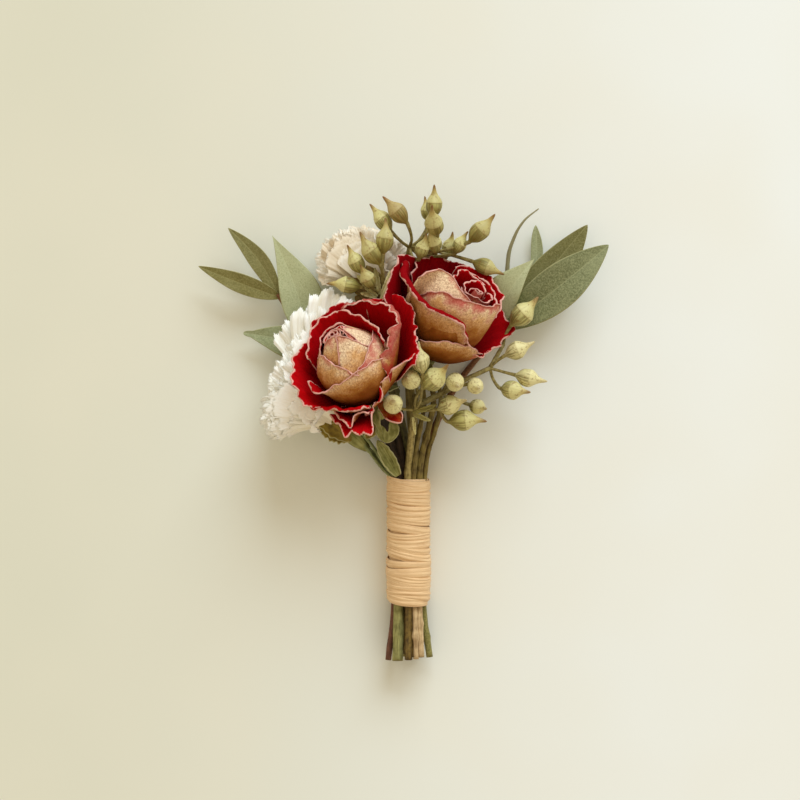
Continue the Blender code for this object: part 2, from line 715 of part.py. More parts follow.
def in_bundle(piece):
    """The stem's way from its cut end through the wrap. Below the wrap it splays outwards."""
    x, z = bundle_place(piece["slot"])
    out_x = BUNDLE_X + (x - BUNDLE_X) * piece["splay"]
    out_z = BUNDLE_Z + (z - BUNDLE_Z) * piece["splay"]
    return [
        (out_x, piece["cut"], out_z),
        (x, WRAP_BOTTOM_Y + STRAIGHT_FROM, z),
        (x, WRAP_TOP_Y + STRAIGHT_TO, z),
    ]


def wrap(finish, home, bench):
    """The raffia: a hollow sleeve of bands, each tilted a little, flat where it lies."""
    length = WRAP_TOP_Y - WRAP_BOTTOM_Y
    pitch = length / WRAP_TURNS
    lip = WRAP_BORE + WRAP_LIP
    outer = [(lip, length)]
    for n in range(WRAP_TURNS):
        outer.append((WRAP_CREST, length - (n + 0.5) * pitch))
        if n < WRAP_TURNS - 1:
            outer.append((WRAP_VALLEY, length - (n + 1) * pitch))
    profile = [*outer, (lip, 0), (WRAP_BORE, 0), (WRAP_BORE, length), (lip, length)]
    sleeve = turned("wrap_sleeve", profile, 20, bench)
    for point in sleeve.data.vertices:
        across, up, along = point.co / MM
        from_end = min(along, length - along) / pitch
        slant = WRAP_SLANT * min(max(from_end, 0), 1) * across
        height = up + BUNDLE_Z
        if height < WRAP_FLAT:
            height = 0
        point.co = Vector((across + BUNDLE_X, along + WRAP_BOTTOM_Y - slant, height)) * MM
    sleeve = welded(sleeve)
    sleeve.name = "wrap"
    sleeve.data.materials.append(finish)
    bench.objects.unlink(sleeve)
    home.objects.link(sleeve)
    return sleeve


def main():
    clear_scene()
    home = new_collection("dried_bouquet")
    bench = new_collection("bench")
    rose_red = finish_of("dried_rose_petal", (0.42, 0.06, 0.05), 0.75)
    rose_green = finish_of("dried_rose_stem", (0.17, 0.15, 0.06), 0.8)
    cream = finish_of("dried_carnation_petal", (0.75, 0.66, 0.5), 0.8)
    pale_green = finish_of("dried_carnation_stem", (0.28, 0.25, 0.11), 0.75)
    pod_green = finish_of("eucalyptus_bud", (0.38, 0.34, 0.13), 0.6)
    leaf_green = finish_of("eucalyptus_leaf", (0.2, 0.21, 0.1), 0.65)
    raffia = finish_of("raffia", (0.62, 0.4, 0.22), 0.7)
    spaces = []
    for rose in (FRONT_ROSE, REAR_ROSE):
        bloom = rose_bloom(rose, rose_red, home, bench)
        spaces.append(envelope(bloom, bench))
        rose_stalk(rose, rose_green, home, bench)
    for flower in (CARNATION_LEFT, CARNATION_TOP):
        carnation_bloom(flower, cream, home, bench, spaces)
        carnation_stalk(flower, pale_green, home, bench)
    for buds in (SPRAY_TOP, SPRAY_FRONT):
        spray(buds, pod_green, home, bench)
    for leaves in (SPRIG_LEFT, SPRIG_RIGHT):
        sprig(leaves, leaf_green, home, bench)
    wrap(raffia, home, bench)
    for space in spaces:
        bpy.data.objects.remove(space)
    bpy.data.collections.remove(bench)


main()
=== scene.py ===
# %% [markdown]
# # A small dried flower bouquet
#
# The bouquet lies on its back: two dried roses, two dried carnations, two sprays of beaked eucalyptus buds
# and two leafy eucalyptus sprigs, bound with raffia. The solids already exist as a fixed frame. Here each
# of them gets the fine form and the finish of the dried plant: thin crinkled petals, ribbed buds, veined
# leaves and fibrous bands. We load the frame first and keep its box, because nothing that we add may leave
# it.

# %% Load the frame
import math
import random

import bpy
import numpy as np
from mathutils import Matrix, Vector
from mathutils.bvhtree import BVHTree


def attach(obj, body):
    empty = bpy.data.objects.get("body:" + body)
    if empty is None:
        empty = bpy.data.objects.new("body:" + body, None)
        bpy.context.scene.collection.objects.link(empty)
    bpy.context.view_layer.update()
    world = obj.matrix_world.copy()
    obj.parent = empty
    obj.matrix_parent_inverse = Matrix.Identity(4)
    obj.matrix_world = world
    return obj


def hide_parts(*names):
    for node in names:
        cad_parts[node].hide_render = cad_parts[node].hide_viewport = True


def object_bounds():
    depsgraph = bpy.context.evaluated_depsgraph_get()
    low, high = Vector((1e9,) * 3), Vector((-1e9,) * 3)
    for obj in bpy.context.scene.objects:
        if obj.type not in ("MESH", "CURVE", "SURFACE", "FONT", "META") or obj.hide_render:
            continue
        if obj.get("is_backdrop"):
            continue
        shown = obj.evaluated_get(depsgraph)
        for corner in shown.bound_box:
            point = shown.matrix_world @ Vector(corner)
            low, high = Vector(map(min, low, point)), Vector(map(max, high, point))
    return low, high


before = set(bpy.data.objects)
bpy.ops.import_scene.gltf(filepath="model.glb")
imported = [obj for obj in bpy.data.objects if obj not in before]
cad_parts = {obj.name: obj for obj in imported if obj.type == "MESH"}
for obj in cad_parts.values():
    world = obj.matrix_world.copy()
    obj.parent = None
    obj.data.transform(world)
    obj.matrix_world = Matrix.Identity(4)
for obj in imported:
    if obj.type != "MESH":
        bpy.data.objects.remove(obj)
frame_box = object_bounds()
MM = 0.001
print("solids:", ", ".join(sorted(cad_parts)))

# %% [markdown]
# ## The camera and the light
#
# The photograph looks straight down from about an arm's length, so the camera does too, with a long lens
# that keeps the bouquet's sides from leaning. The light in it is soft and comes from the top, a little from
# the right, as from a window, and the shadows spread out below. A large area light gives that, and a warm
# sky fills the shadows.

# %% Camera
VIEW_HEIGHT = 0.9
VIEW_WIDTH = 0.28
VIEW_CENTRE = (-0.00105, 0.0079, 0)
SENSOR = 36


def in_scene(name, data):
    """A new object in the scene, for a mesh, a lamp or a camera."""
    made = bpy.data.objects.new(name, data)
    bpy.context.scene.collection.objects.link(made)
    return made


camera = in_scene("camera", bpy.data.cameras.new("camera"))
camera.location = Vector(VIEW_CENTRE) + Vector((0, 0, VIEW_HEIGHT))
camera.data.sensor_width = SENSOR
camera.data.lens = SENSOR * VIEW_HEIGHT / VIEW_WIDTH
camera.data.clip_start = 0.01
bpy.context.scene.camera = camera
print(f"the view is {VIEW_WIDTH / MM:.0f} mm wide on the floor")


# %% Light
WINDOW = Vector((1.3, 4.1, 2.6))
WINDOW_SIZE = (4.0, 2.6)
WINDOW_WATTS = 206
MIDDLE = Vector((0, 0, 0.01))
SKY_STRENGTH = 0.68


def srgb(red, green, blue):
    """A colour as a painter reads it off a screen, from 0 to 255, as the shaders want it."""
    found = []
    for value in (red, green, blue):
        share = value / 255
        found.append(share / 12.92 if share <= 0.04045 else ((share + 0.055) / 1.055) ** 2.4)
    return (*found, 1)


window = in_scene("window", bpy.data.lights.new("window", "AREA"))
window.location = WINDOW
window.rotation_euler = (WINDOW - MIDDLE).to_track_quat("Z", "Y").to_euler()
window.data.shape = "RECTANGLE"
window.data.size, window.data.size_y = WINDOW_SIZE
window.data.energy = WINDOW_WATTS
window.data.color = srgb(228, 243, 255)[:3]
sky = bpy.data.worlds.new("sky")
sky.use_nodes = True
sky.node_tree.nodes["Background"].inputs["Color"].default_value = srgb(255, 239, 209)
sky.node_tree.nodes["Background"].inputs["Strength"].default_value = SKY_STRENGTH
bpy.context.scene.world = sky
bpy.context.scene.view_settings.view_transform = "Standard"
print(f"one window light of {WINDOW_WATTS} watts and a warm sky")

# %% [markdown]
# ## A small kit for finishes
#
# Each finish is a graph of shader nodes on one Principled BSDF. Written out by hand, such a graph is long
# and hard to read, so a little helper adds one node at a time and hands back its output. Patterns are laid
# out in millimetres on the object's own coordinates, so that a speckle is as large on every piece.


# %% Finish helper
class Finish:
    """A material that is built one step at a time. Each step returns the output of its node."""

    def __init__(self, name, roughness, specular=0.3, sheen=0.0):
        self.material = bpy.data.materials.new(name)
        self.material.use_nodes = True
        self.tree = self.material.node_tree
        self.shader = self.tree.nodes["Principled BSDF"]
        self.shader.inputs["Roughness"].default_value = roughness
        self.shader.inputs["Specular IOR Level"].default_value = specular
        self.shader.inputs["Sheen Weight"].default_value = sheen

    def feed(self, socket, value):
        """Links another node's output to a socket, or sets a plain value on it."""
        if isinstance(value, bpy.types.NodeSocket):
            self.tree.links.new(value, socket)
        else:
            socket.default_value = value

    def node(self, kind, settings=None, **inputs):
        """A new node. An input is named as in the shader editor, or as _0, _1 and so on by its place."""
        made = self.tree.nodes.new(kind)
        for key, value in (settings or {}).items():
            setattr(made, key, value)
        for key, value in inputs.items():
            self.feed(made.inputs[int(key[1:]) if key[0] == "_" else key], value)
        return made

    def number(self, name):
        """A number that the mesh carries on its points."""
        return self.node("ShaderNodeAttribute", {"attribute_name": name}).outputs["Fac"]

    def grid(self):
        """The object's own coordinates in millimetres."""
        place = self.node("ShaderNodeTexCoord").outputs["Object"]
        return self.node("ShaderNodeMapping", Vector=place, Scale=(1 / MM, 1 / MM, 1 / MM)).outputs[0]

    def noise(self, where, per_mm, detail=3.0, roughness=0.55):
        ways = {"Vector": where, "Scale": per_mm, "Detail": detail, "Roughness": roughness}
        return self.node("ShaderNodeTexNoise", **ways).outputs[0]

    def joined(self, x, y, z=0.0):
        return self.node("ShaderNodeCombineXYZ", _0=x, _1=y, _2=z).outputs[0]

    def maths(self, operation, a, b=0.0):
        return self.node("ShaderNodeMath", {"operation": operation}, _0=a, _1=b).outputs[0]

    def plus(self, a, b):
        return self.maths("ADD", a, b)

    def times(self, a, b):
        return self.maths("MULTIPLY", a, b)

    def circled(self, radius):
        """The place round a tube or turned shape, as two numbers on a circle with this radius."""
        return [self.times(self.number(name), radius) for name in ("round_x", "round_y")]

    def band(self, value, low, high, to_low=0.0, to_high=1.0):
        """A soft step: to_low below low, to_high above high."""
        ways = {"_0": value, "_1": low, "_2": high, "_3": to_low, "_4": to_high}
        return self.node("ShaderNodeMapRange", {"interpolation_type": "SMOOTHSTEP"}, **ways).outputs[0]

    def ramp(self, value, *stops):
        """Colours that follow a value. Each stop is a place on it and the red, green and blue there."""
        made = self.node("ShaderNodeValToRGB", _0=value)
        elements = made.color_ramp.elements
        while len(elements) < len(stops):
            elements.new(0.5)
        for element, (place, *colour) in zip(elements, stops):
            element.position = place
            element.color = srgb(*colour)
        return made.outputs[0]

    def mix(self, share, a, b):
        return self.node("ShaderNodeMix", {"data_type": "RGBA"}, _0=share, _6=a, _7=b).outputs[2]

    def washed(self, base, colour, *step):
        """A base with another colour over it, as strong as the soft step that band makes of the rest."""
        return self.mix(self.band(*step), base, srgb(*colour))

    def colour(self, output):
        self.tree.links.new(output, self.shader.inputs["Base Color"])

    def relief(self, height, depth, strength=1.0):
        """A bump as deep as depth in millimetres."""
        made = self.node("ShaderNodeBump", Height=height, Distance=depth * MM, Strength=strength)
        self.tree.links.new(made.outputs[0], self.shader.inputs["Normal"])
        print(f"{self.material.name}: {len(self.tree.nodes)} shader nodes")


# %% [markdown]
# ## The floor
#
# The bouquet lies on a plain pale surface, slightly warm, with no texture of its own beyond the faintest
# mottle. Its colour is painted darker and warmer on the left and lighter and cooler on the right: painted
# light from the window on that side. A single large plane is enough. It is marked as stage, so it isn't part
# of the object.

# %% Floor
FLOOR_HALF = 3
plaster = Finish("pale_floor", roughness=0.85, specular=0.15)
mottle = plaster.noise(plaster.grid(), 0.01, detail=2)
across_floor = plaster.node("ShaderNodeSeparateXYZ", _0=plaster.grid()).outputs[0]
# painted light and shade: the floor's colour runs from darker and warmer on the left to lighter and cooler on
# the right, where the window's light falls
pale = plaster.mix(plaster.band(across_floor, -150, 150), srgb(224, 224, 208), srgb(244, 249, 251))
plaster.colour(plaster.washed(pale, (238, 234, 218), mottle, 0.3, 0.7, 0.0, 0.3))
corners = [(x * FLOOR_HALF, y * FLOOR_HALF, 0) for x, y in ((-1, -1), (1, -1), (1, 1), (-1, 1))]
floor_mesh = bpy.data.meshes.new("floor")
floor_mesh.from_pydata(corners, [], [(0, 1, 2, 3)])
floor_mesh.materials.append(plaster.material)
floor = in_scene("floor", floor_mesh)
floor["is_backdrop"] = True
print(f"a floor {2 * FLOOR_HALF} m wide")

# %% [markdown]
# ## Gathering small surfaces into one piece
#
# A bloom holds some twenty petals and a spray some fifteen buds. Each would be a separate object if made by
# hand, but a bloom moves as one piece, so we gather its parts into one mesh. A pile keeps the points and
# faces, and with each point a few numbers for the finish, such as how far it lies from the petal's rim.


# %% Pile
class Pile:
    """Gathers surfaces in millimetres and the numbers that their finish needs."""

    def __init__(self, *numbers):
        self.points = []
        self.faces = []
        self.numbers = {name: [] for name in numbers}
        self.size = 0

    def add(self, points, faces, **numbers):
        points = np.asarray(points, float).reshape(-1, 3)
        self.points.append(points)
        self.faces += [[corner + self.size for corner in face] for face in faces]
        for name, kept in self.numbers.items():
            kept.append(np.broadcast_to(np.ravel(numbers.get(name, 0.0)), len(points)))
        self.size += len(points)

    def finished(self, name, finish, node, slot):
        """The pile as one piece, which stands for a solid of the frame."""
        mesh = bpy.data.meshes.new(name)
        mesh.from_pydata((np.vstack(self.points) * MM).tolist(), [], self.faces)
        for number, kept in self.numbers.items():
            layer = mesh.attributes.new(number, "FLOAT", "POINT")
            layer.data.foreach_set("value", np.concatenate(kept).astype(np.float32))
        mesh.validate()
        mesh.shade_smooth()
        mesh.materials.append(finish.material)
        piece = in_scene(name, mesh)
        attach(piece, "root")
        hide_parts(node)
        mesh.calc_loop_triangles()
        print(f"{name}: {len(mesh.loop_triangles)} triangles")
        return piece


# %% [markdown]
# A petal or leaf is a thin sheet with two faces. We lay out a grid of points through its middle, push one
# copy to each side along the surface's normal, and close the border. Both faces are then real, so the red
# inside and the cream outside of a rose petal can differ, and the sheet has an edge to catch the light.


# %% Sheets
def grid_faces(rows, columns, start=0, flip=False, closed=False):
    """Faces between neighbours in rows of points. Where the rows are closed, they are rings."""
    found = []
    for row in range(rows - 1):
        for column in range(columns if closed else columns - 1):
            a = start + row * columns + column
            b = start + row * columns + (column + 1) % columns
            found.append([b, a, a + columns, b + columns] if flip else [a, b, b + columns, a + columns])
    return found


def normals_of(grid):
    found = np.cross(np.gradient(grid, axis=1), np.gradient(grid, axis=0))
    return found / np.maximum(np.linalg.norm(found, axis=2, keepdims=True), 1e-9)


def add_sheet(pile, grid, thickness, **numbers):
    """A closed thin sheet round a grid of rows by columns. Its first face is the outer one."""
    rows, columns = grid.shape[:2]
    away = normals_of(grid) * thickness / 2
    count = rows * columns
    faces = grid_faces(rows, columns) + grid_faces(rows, columns, count, flip=True)
    border = list(range(columns))
    border += [r * columns + columns - 1 for r in range(1, rows)]
    border += [(rows - 1) * columns + c for c in range(columns - 2, -1, -1)]
    border += [r * columns for r in range(rows - 2, 0, -1)]
    for a, b in zip(border, border[1:] + border[:1]):
        faces.append([b, a, a + count, b + count])
    both = {}
    for name, value in numbers.items():
        both[name] = np.tile(np.broadcast_to(value, (rows, columns)).ravel(), 2)
    inner = np.repeat([0.0, 1.0], count)
    pile.add(np.concatenate([grid + away, grid - away]), faces, inner_face=inner, **both)


# %% [markdown]
# ## The roses
#
# Each rose is a bud of thin petals that wrap one another, with a few that have opened. A dried petal keeps
# its cup but its rim shrivels into small crinkles and curls. In the photograph the inside is deep red, the
# outside is cream that browns towards the root, where it also lies in shade, and each rim is a pale pink
# line.
#
# We could sculpt each petal, or repeat one petal round a spiral. The first can't be changed later, and the
# second looks like a pattern. So each petal is given by its rim instead: a few knots, each as a turn round
# the rose's axis, a distance from it and a height on it, read off the real rose. The sheet runs from the
# root, out over the petal's belly, to that rim. Turn 0 faces the viewer above the bouquet, and 90 the
# right.

# %% Lines and places
def smooth_line(knots, shares):
    """Points on a smooth line through the knots, at shares of the way from 0 to 1."""
    knots = np.asarray(knots, float)
    at = np.clip(np.asarray(shares, float), 0, 1) * (len(knots) - 1)
    n = np.minimum(at.astype(int), len(knots) - 2)
    t = (at - n)[:, None]
    padded = np.vstack([2 * knots[0] - knots[1], knots, 2 * knots[-1] - knots[-2]])
    a, b, c, d = padded[n], padded[n + 1], padded[n + 2], padded[n + 3]
    return 0.5 * (2 * b + (c - a) * t + (2 * a - 5 * b + 4 * c - d) * t**2 + (3 * b - a - 3 * c + d) * t**3)


def frame_on(origin, axis, up=(0, 0, 1)):
    """Origin and the three directions X, Y and Z of a frame whose Z is the axis and whose X leans to up."""
    z = np.array(axis, float) / np.linalg.norm(axis)
    x = np.array(up, float) - np.dot(up, z) * z
    x /= np.linalg.norm(x)
    return np.array(origin, float), np.array([x, np.cross(z, x), z])


def placed(local, frame_at):
    origin, turn = frame_at
    return origin + np.asarray(local) @ turn


# %% Rims
PETAL_STEP = 0.6
LAYER = 0.6
CRINKLES = ((9.0, 0.4), (4.6, 0.24), (2.4, 0.1), (1.5, 0.04))


def rim(*knots, **ways):
    """A row in a list of petals: its rim's knots, and in what it differs from a plain petal."""
    return knots, ways


def crinkle(rng, reach):
    """A rim's small waves: a sum of waves with random starts, for places in millimetres along it."""
    total = 0
    for length, height in CRINKLES:
        wave = 2 * math.pi * reach / (length * rng.uniform(0.8, 1.2))
        total = total + height * np.sin(wave + rng.uniform(0, 6.3))
    return total


def bud_radius(rose, height, turn):
    """How far the closed bud reaches from the axis at a height, on the side of a turn."""
    heights, radii = zip(*rose["bud"])
    leaning = rose["lean"] * np.sin(np.radians(turn)) * np.clip(height / 15, 0, 1)
    return np.interp(height, heights, radii) + leaning


def even_rim(rose, knots, layer):
    """A rim at even steps: turns, distances and heights, and how far along it each lies.

    A petal of the closed bud gives its layer, and its knots then hold the lift off that layer as a distance.
    """
    knots = np.array(knots, float)
    knots[:, 0] = np.unwrap(knots[:, 0], period=360)
    dense = smooth_line(knots, np.linspace(0, 1, 300))
    if layer is not None:
        dense[:, 1] += bud_radius(rose, dense[:, 2], dense[:, 0]) - layer * LAYER
    moves = np.diff(dense, axis=0)
    moves[:, 0] = np.radians(moves[:, 0]) * dense[1:, 1]
    reach = np.concatenate([[0], np.cumsum(np.linalg.norm(moves, axis=1))])
    even = np.linspace(0, reach[-1], int(np.clip(reach[-1] / PETAL_STEP, 16, 120)))
    return [np.interp(even, reach, dense[:, n]) for n in range(3)] + [even]


# %% Petals of a rose
PETAL_ROWS = 21
ROLL_ROWS = 5
PETAL_THICKNESS = 0.25
ROOT = (2.6, 0.8)


def bezier(v, start, pull, push, end):
    """A curve that leaves its start towards pull and reaches its end from push, at shares v of the way."""
    w = 1 - v
    return w**3 * start + 3 * w * w * v * pull + 3 * w * v * v * push + v**3 * end


def rolled_edge(local, roll, sweep):
    """Rows that carry a sheet's last row on over a roll with a radius for each point."""
    outward = normals_of(local)[-1]
    onward = local[-1] - local[-2]
    onward /= np.linalg.norm(onward, axis=1)[:, None]
    found = []
    for share in np.arange(1, ROLL_ROWS + 1) / ROLL_ROWS:
        bend = math.radians(sweep) * share
        aside = roll * (1 - math.cos(bend)) * outward
        found.append(local[-1] + np.abs(roll) * math.sin(bend) * onward + aside)
    return np.concatenate([local, found])


def rose_petal(
    pile, rose, rng, knots, belly=None, layer=None, roll=0.3, sweep=120, waver=1.0, shift=(0, 0), blush=1.2,
    age=0.0, pale=0.0,
):
    """One petal by its rim's knots. It hugs the bud in its layer, or bulges out to a belly
    (radius, height), whose radius may change to a third number at the rim's end.

    Its edge rolls over with the radius roll, outwards or, below zero, inwards, and sweeps so many degrees.
    Its rim wavers more or less, shift moves it aside, and blush and age are numbers for its finish; the last
    number paints the petal lighter or, below zero, darker, as painted light and shade.
    """
    turn, radius, height, reach = even_rim(rose, knots, layer)
    v = (1 - (1 - np.linspace(0, 1, PETAL_ROWS)) ** 1.2)[:, None]
    wave, bite, furl = (crinkle(rng, reach) for _ in range(3))
    if belly is None:
        surface = bud_radius(rose, height, turn) - layer * LAYER
        up = ROOT[1] + (height - ROOT[1]) * v
        out = bud_radius(rose, up, turn) - layer * LAYER + (radius - surface) * v**5
    else:
        bulge = np.linspace(belly[0], belly[-1] if len(belly) > 2 else belly[0], len(turn))
        out = bezier(v, ROOT[0], bulge * 0.9, bulge * 0.62 + radius * 0.38, radius)
        up = bezier(v, ROOT[1], belly[1] * 0.3, belly[1] + (height - belly[1]) * 0.45, height)
    out = out + waver * wave * v**5
    up = up + waver * 0.7 * bite * v**6
    middle = turn.mean()
    opening = 0.4 + 0.6 * np.sin(np.minimum(v / 0.55, 1) * math.pi / 2)
    angle = np.radians(middle + (turn - middle) * opening)
    local = np.stack([out * np.cos(angle) + shift[0], out * np.sin(angle) + shift[1], up], axis=2)
    local = rolled_edge(local, (roll * np.clip(1 + 0.8 * waver * furl, 0.3, 2))[:, None], sweep)
    v = np.concatenate([v, np.ones((ROLL_ROWS, 1))])
    opening = np.concatenate([opening, np.ones((ROLL_ROWS, 1))])
    steps = np.linalg.norm(np.diff(local, axis=0), axis=2)
    from_top = np.vstack([np.cumsum(steps[::-1], axis=0)[::-1], np.zeros(len(turn))])
    from_rim = np.minimum(from_top, np.minimum(reach, reach[-1] - reach) * opening + 0.3)
    add_sheet(
        pile, placed(local, rose["frame"]), PETAL_THICKNESS, from_rim=from_rim, up=v,
        across=(reach - reach[-1] / 2) * opening, blush=blush, age=age, pale=pale,
    )


# %% [markdown]
# The front rose faces up and to the left. Its bud leans on its petals like a small egg, and the point of
# the swirl is near its upper left. The petals are listed from the heart outwards. Some have a layer of the
# bud, from 3 in the heart to 0 outside, and the others a belly. A few also say how far the red spreads in
# from the rim (blush), how much the red has darkened (age), or by how much the petal is painted lighter
# or, below zero, darker: painted light and shade for how the light falls on that petal.

# %% Front rose
FRONT_ROSE = {
    "frame": frame_on((-11.5, 9.5, 24), (-0.39, 0.66, 0.64)), "lean": 1.0,
    "bud": [
        (0, 5), (5, 10), (10, 12.4), (15, 13.2), (18.4, 12.9), (20, 12), (21, 11.5), (22.5, 10.2), (24, 9.2),
        (26, 7.6), (28, 6), (30, 4.2), (31, 3), (33, 2),
    ],
}
FRONT_BUD = [
    rim((118, 0, 26.4), (140, 0.9, 28.4), (168, 1.5, 28.8), (200, 1.7, 28.6), (230, 1.5, 27.6),
        (255, 0.9, 26), (270, 0.3, 24), layer=1.6, waver=0.8, roll=0.25),
    rim((48, 0, 24), (60, 0.1, 27), (76, 0.1, 29.2), (94, 0.2, 30), (112, 0.2, 30), (132, 0.3, 29.2),
        (150, 0.2, 27), layer=2.4, waver=0.3, blush=0.6, pale=0.2),
    rim((268, 0.2, 26.4), (276, 0.5, 28.6), (288, 0.6, 30), (310, 0.4, 30.5), (335, 0.2, 30.8),
        (358, 0, 30.8), (374, 0, 30.4), layer=2.1, waver=0.5, blush=1.8, pale=0.02),
    rim((336, 0, 23.4), (341, 0.1, 25), (347, 0.2, 27.4), (358, 0.3, 29.6), (374, 0.3, 30.7),
        (393, 0.3, 30.5), (402, 0.3, 29.4), (406, 0.3, 28), (409, 0.3, 26.4), (412, 0.3, 24.6),
        (416, 0.3, 22.6), (424, 0.2, 20), (432, 0.2, 17), layer=1.5, roll=0.3, waver=0.35, blush=1.5,
        pale=0.1),
    rim((262, 0.4, 23.6), (270, 0.4, 25.3), (281, 0.4, 25.9), (300, 0.4, 25.5), (317, 0.4, 24.9),
        (340, 0.3, 23.2), (354, 0.3, 21), (363, 0.2, 19), layer=0.9, waver=0.6, roll=0.4, blush=1.5),
    rim((361, 0.1, 19.6), (367, 0.2, 21.1), (376, 0.3, 21.6), (388, 0.3, 21.9), (400, 0.3, 22.6),
        (417, 0.4, 23.2), (432, 0.4, 23), (446, 0.4, 22.2), (462, 0.3, 20.8), (478, 0.2, 18), layer=0.5,
        waver=0.45, roll=0.35, blush=3, pale=0.05),
    rim((280, 3.6, 20.4), (285, 4.2, 19.4), (291, 3.8, 17.9), (298, 2.2, 16.8), (306, 0.8, 17.2),
        (315, 0.4, 18.5), (332, 0.3, 19.3), (345, 0.3, 19.9), (355, 0.3, 20.7), (372, 0.3, 20.8),
        (392, 0.3, 20.2), (406, 0.4, 18.6), (418, 0.4, 15.6), (430, 0.4, 12), layer=0, waver=0.6, roll=0.45,
        blush=0.9, pale=-0.04),
]
FRONT_PETALS = [
    rim((0, 0.5, 30.2), (110, 0.6, 30.8), (220, 0.9, 31), (330, 1.3, 31), (440, 1.8, 30.6), (540, 2.3, 30),
        (600, 2.6, 29), belly=(3, 22), roll=0.12, waver=0.3, blush=2),
    rim((44, 0, 28), (90, 0.1, 30.4), (140, 0.2, 30.4), (200, 0.2, 30), (260, 0.1, 29.4), (300, 0, 28.6),
        layer=3, waver=0.3, roll=0.15, blush=3),
    rim((20, 2.2, 29.4), (60, 2.5, 30), (100, 2.5, 30.2), (140, 2.2, 30), (180, 2.2, 29.4), belly=(2.6, 24),
        roll=0.15, waver=0.3, blush=2),
    rim((64, 3.0, 29.2), (90, 3.4, 29.4), (115, 4.0, 29.2), (140, 4.3, 28.8), (165, 4.2, 28.4),
        (190, 3.8, 28), belly=(3.4, 23), roll=0.4, waver=0.4, blush=3),
    rim((96, 3.6, 28.2), (126, 4.9, 28.2), (165, 5.3, 27.8), (205, 5, 27.4), (235, 4.4, 26.6),
        belly=(4, 21), roll=0.4, waver=0.4, blush=3),
    *FRONT_BUD,
    rim((64, 15, 22), (80, 13.6, 24), (98, 12.8, 25), (118, 12.7, 25.4), (136, 13.2, 25.7), (152, 15.4, 26),
        (173, 16, 26), (186, 16, 26), (198, 15.2, 25.8), (212, 13.8, 25), (229, 12.2, 25), (244, 12.5, 22),
        belly=(13, 16), age=0.2),
    rim((38, 13.8, 17), (48, 15.6, 19), (58, 17.6, 21), (68, 19.2, 22), (77, 21, 23), (87, 22.4, 24),
        (100, 21.8, 24.6), (113, 21, 25), (126, 20, 25.4), (138, 20, 25), (148, 19.4, 25),
        (158, 17.8, 24.6), belly=(16.4, 14), roll=-1.1, sweep=130, blush=9, waver=0.8),
    rim((132, 19.4, 22.6), (148, 21, 24), (161, 21.4, 24), (176, 21, 24), (186, 20, 24), (198, 18.6, 23),
        (214, 16, 20), belly=(14, 13), waver=1.3, age=0.3),
    rim((208, 14, 21), (220, 16.4, 23), (232, 17.2, 23.4), (250, 17.6, 23), (267, 18.8, 23),
        (279, 19.9, 21), (284, 20.8, 17), (294, 19.4, 13.6), belly=(13, 9), waver=1.2),
    rim((54, 22, 12), (62, 23, 13.5), (71, 23, 14.6), (86, 24.2, 16.4), (95, 26.2, 18), (103, 27.6, 20),
        (110, 27.8, 21.4), (118, 26.2, 22), (125, 23.8, 22.6), (134, 21, 23), belly=(15, 9), roll=0.5,
        waver=1.1, age=0.2),
    rim((342, 13.6, 4.6), (354, 13.6, 5.6), (366, 13.6, 7.2), (380, 13, 10), (393, 13.4, 12.4),
        (404, 14.2, 12.8), (414, 17.4, 13), (422, 20.6, 13.4), (428, 23, 13), belly=(13, 6), roll=0.5,
        waver=1.1, blush=1.6),
    rim((276, 18.6, 14.5), (286, 18.4, 12.6), (294, 16.8, 11.6), (307, 14.8, 10.6), (323, 14.8, 10),
        (340, 15, 9.4), (354, 14.6, 8.4), belly=(14, 6), roll=0.7, sweep=160, waver=0.6, blush=0.5),
    rim((282, 13.5, 5.8), (296, 14, 6.4), (309, 15.6, 6.8), (322, 18.2, 7), (328, 20, 6.8), (333, 17, 8),
        (341, 15.8, 7.8), (350, 16, 7), belly=(12, 3), waver=0.7, blush=0.3),
    rim((288, 15, 5.2), (302, 16.4, 5), (315, 18.8, 4.6), (322, 22, 4.4), (328, 20.8, 4.8),
        (334, 21.6, 4.6), (340, 22, 4.8), (346, 24.6, 4.6), (349, 20, 5.6), (352, 16.5, 6.4),
        belly=(12, 1.6), waver=0.7),
    rim((363, 12, -2.4), (369, 14, -4), (376, 15.2, -5), (384, 14.6, -4.6), (390, 12.6, -3),
        belly=(8, -2.4), roll=-0.4, waver=0.6, blush=4, age=-1),
    rim((130, 17, 12), (150, 19.5, 16), (172, 20.5, 17.5), (196, 20, 17), (218, 18, 13), belly=(15, 7),
        waver=1.2),
]
print(len(FRONT_PETALS), "petals on the front rose")

# %% [markdown]
# The rear rose lies on its side and opens to the upper right, so mostly its flank shows. One of its outer
# petals has rolled its rim outwards into a red band, and another has folded down at the lower right.

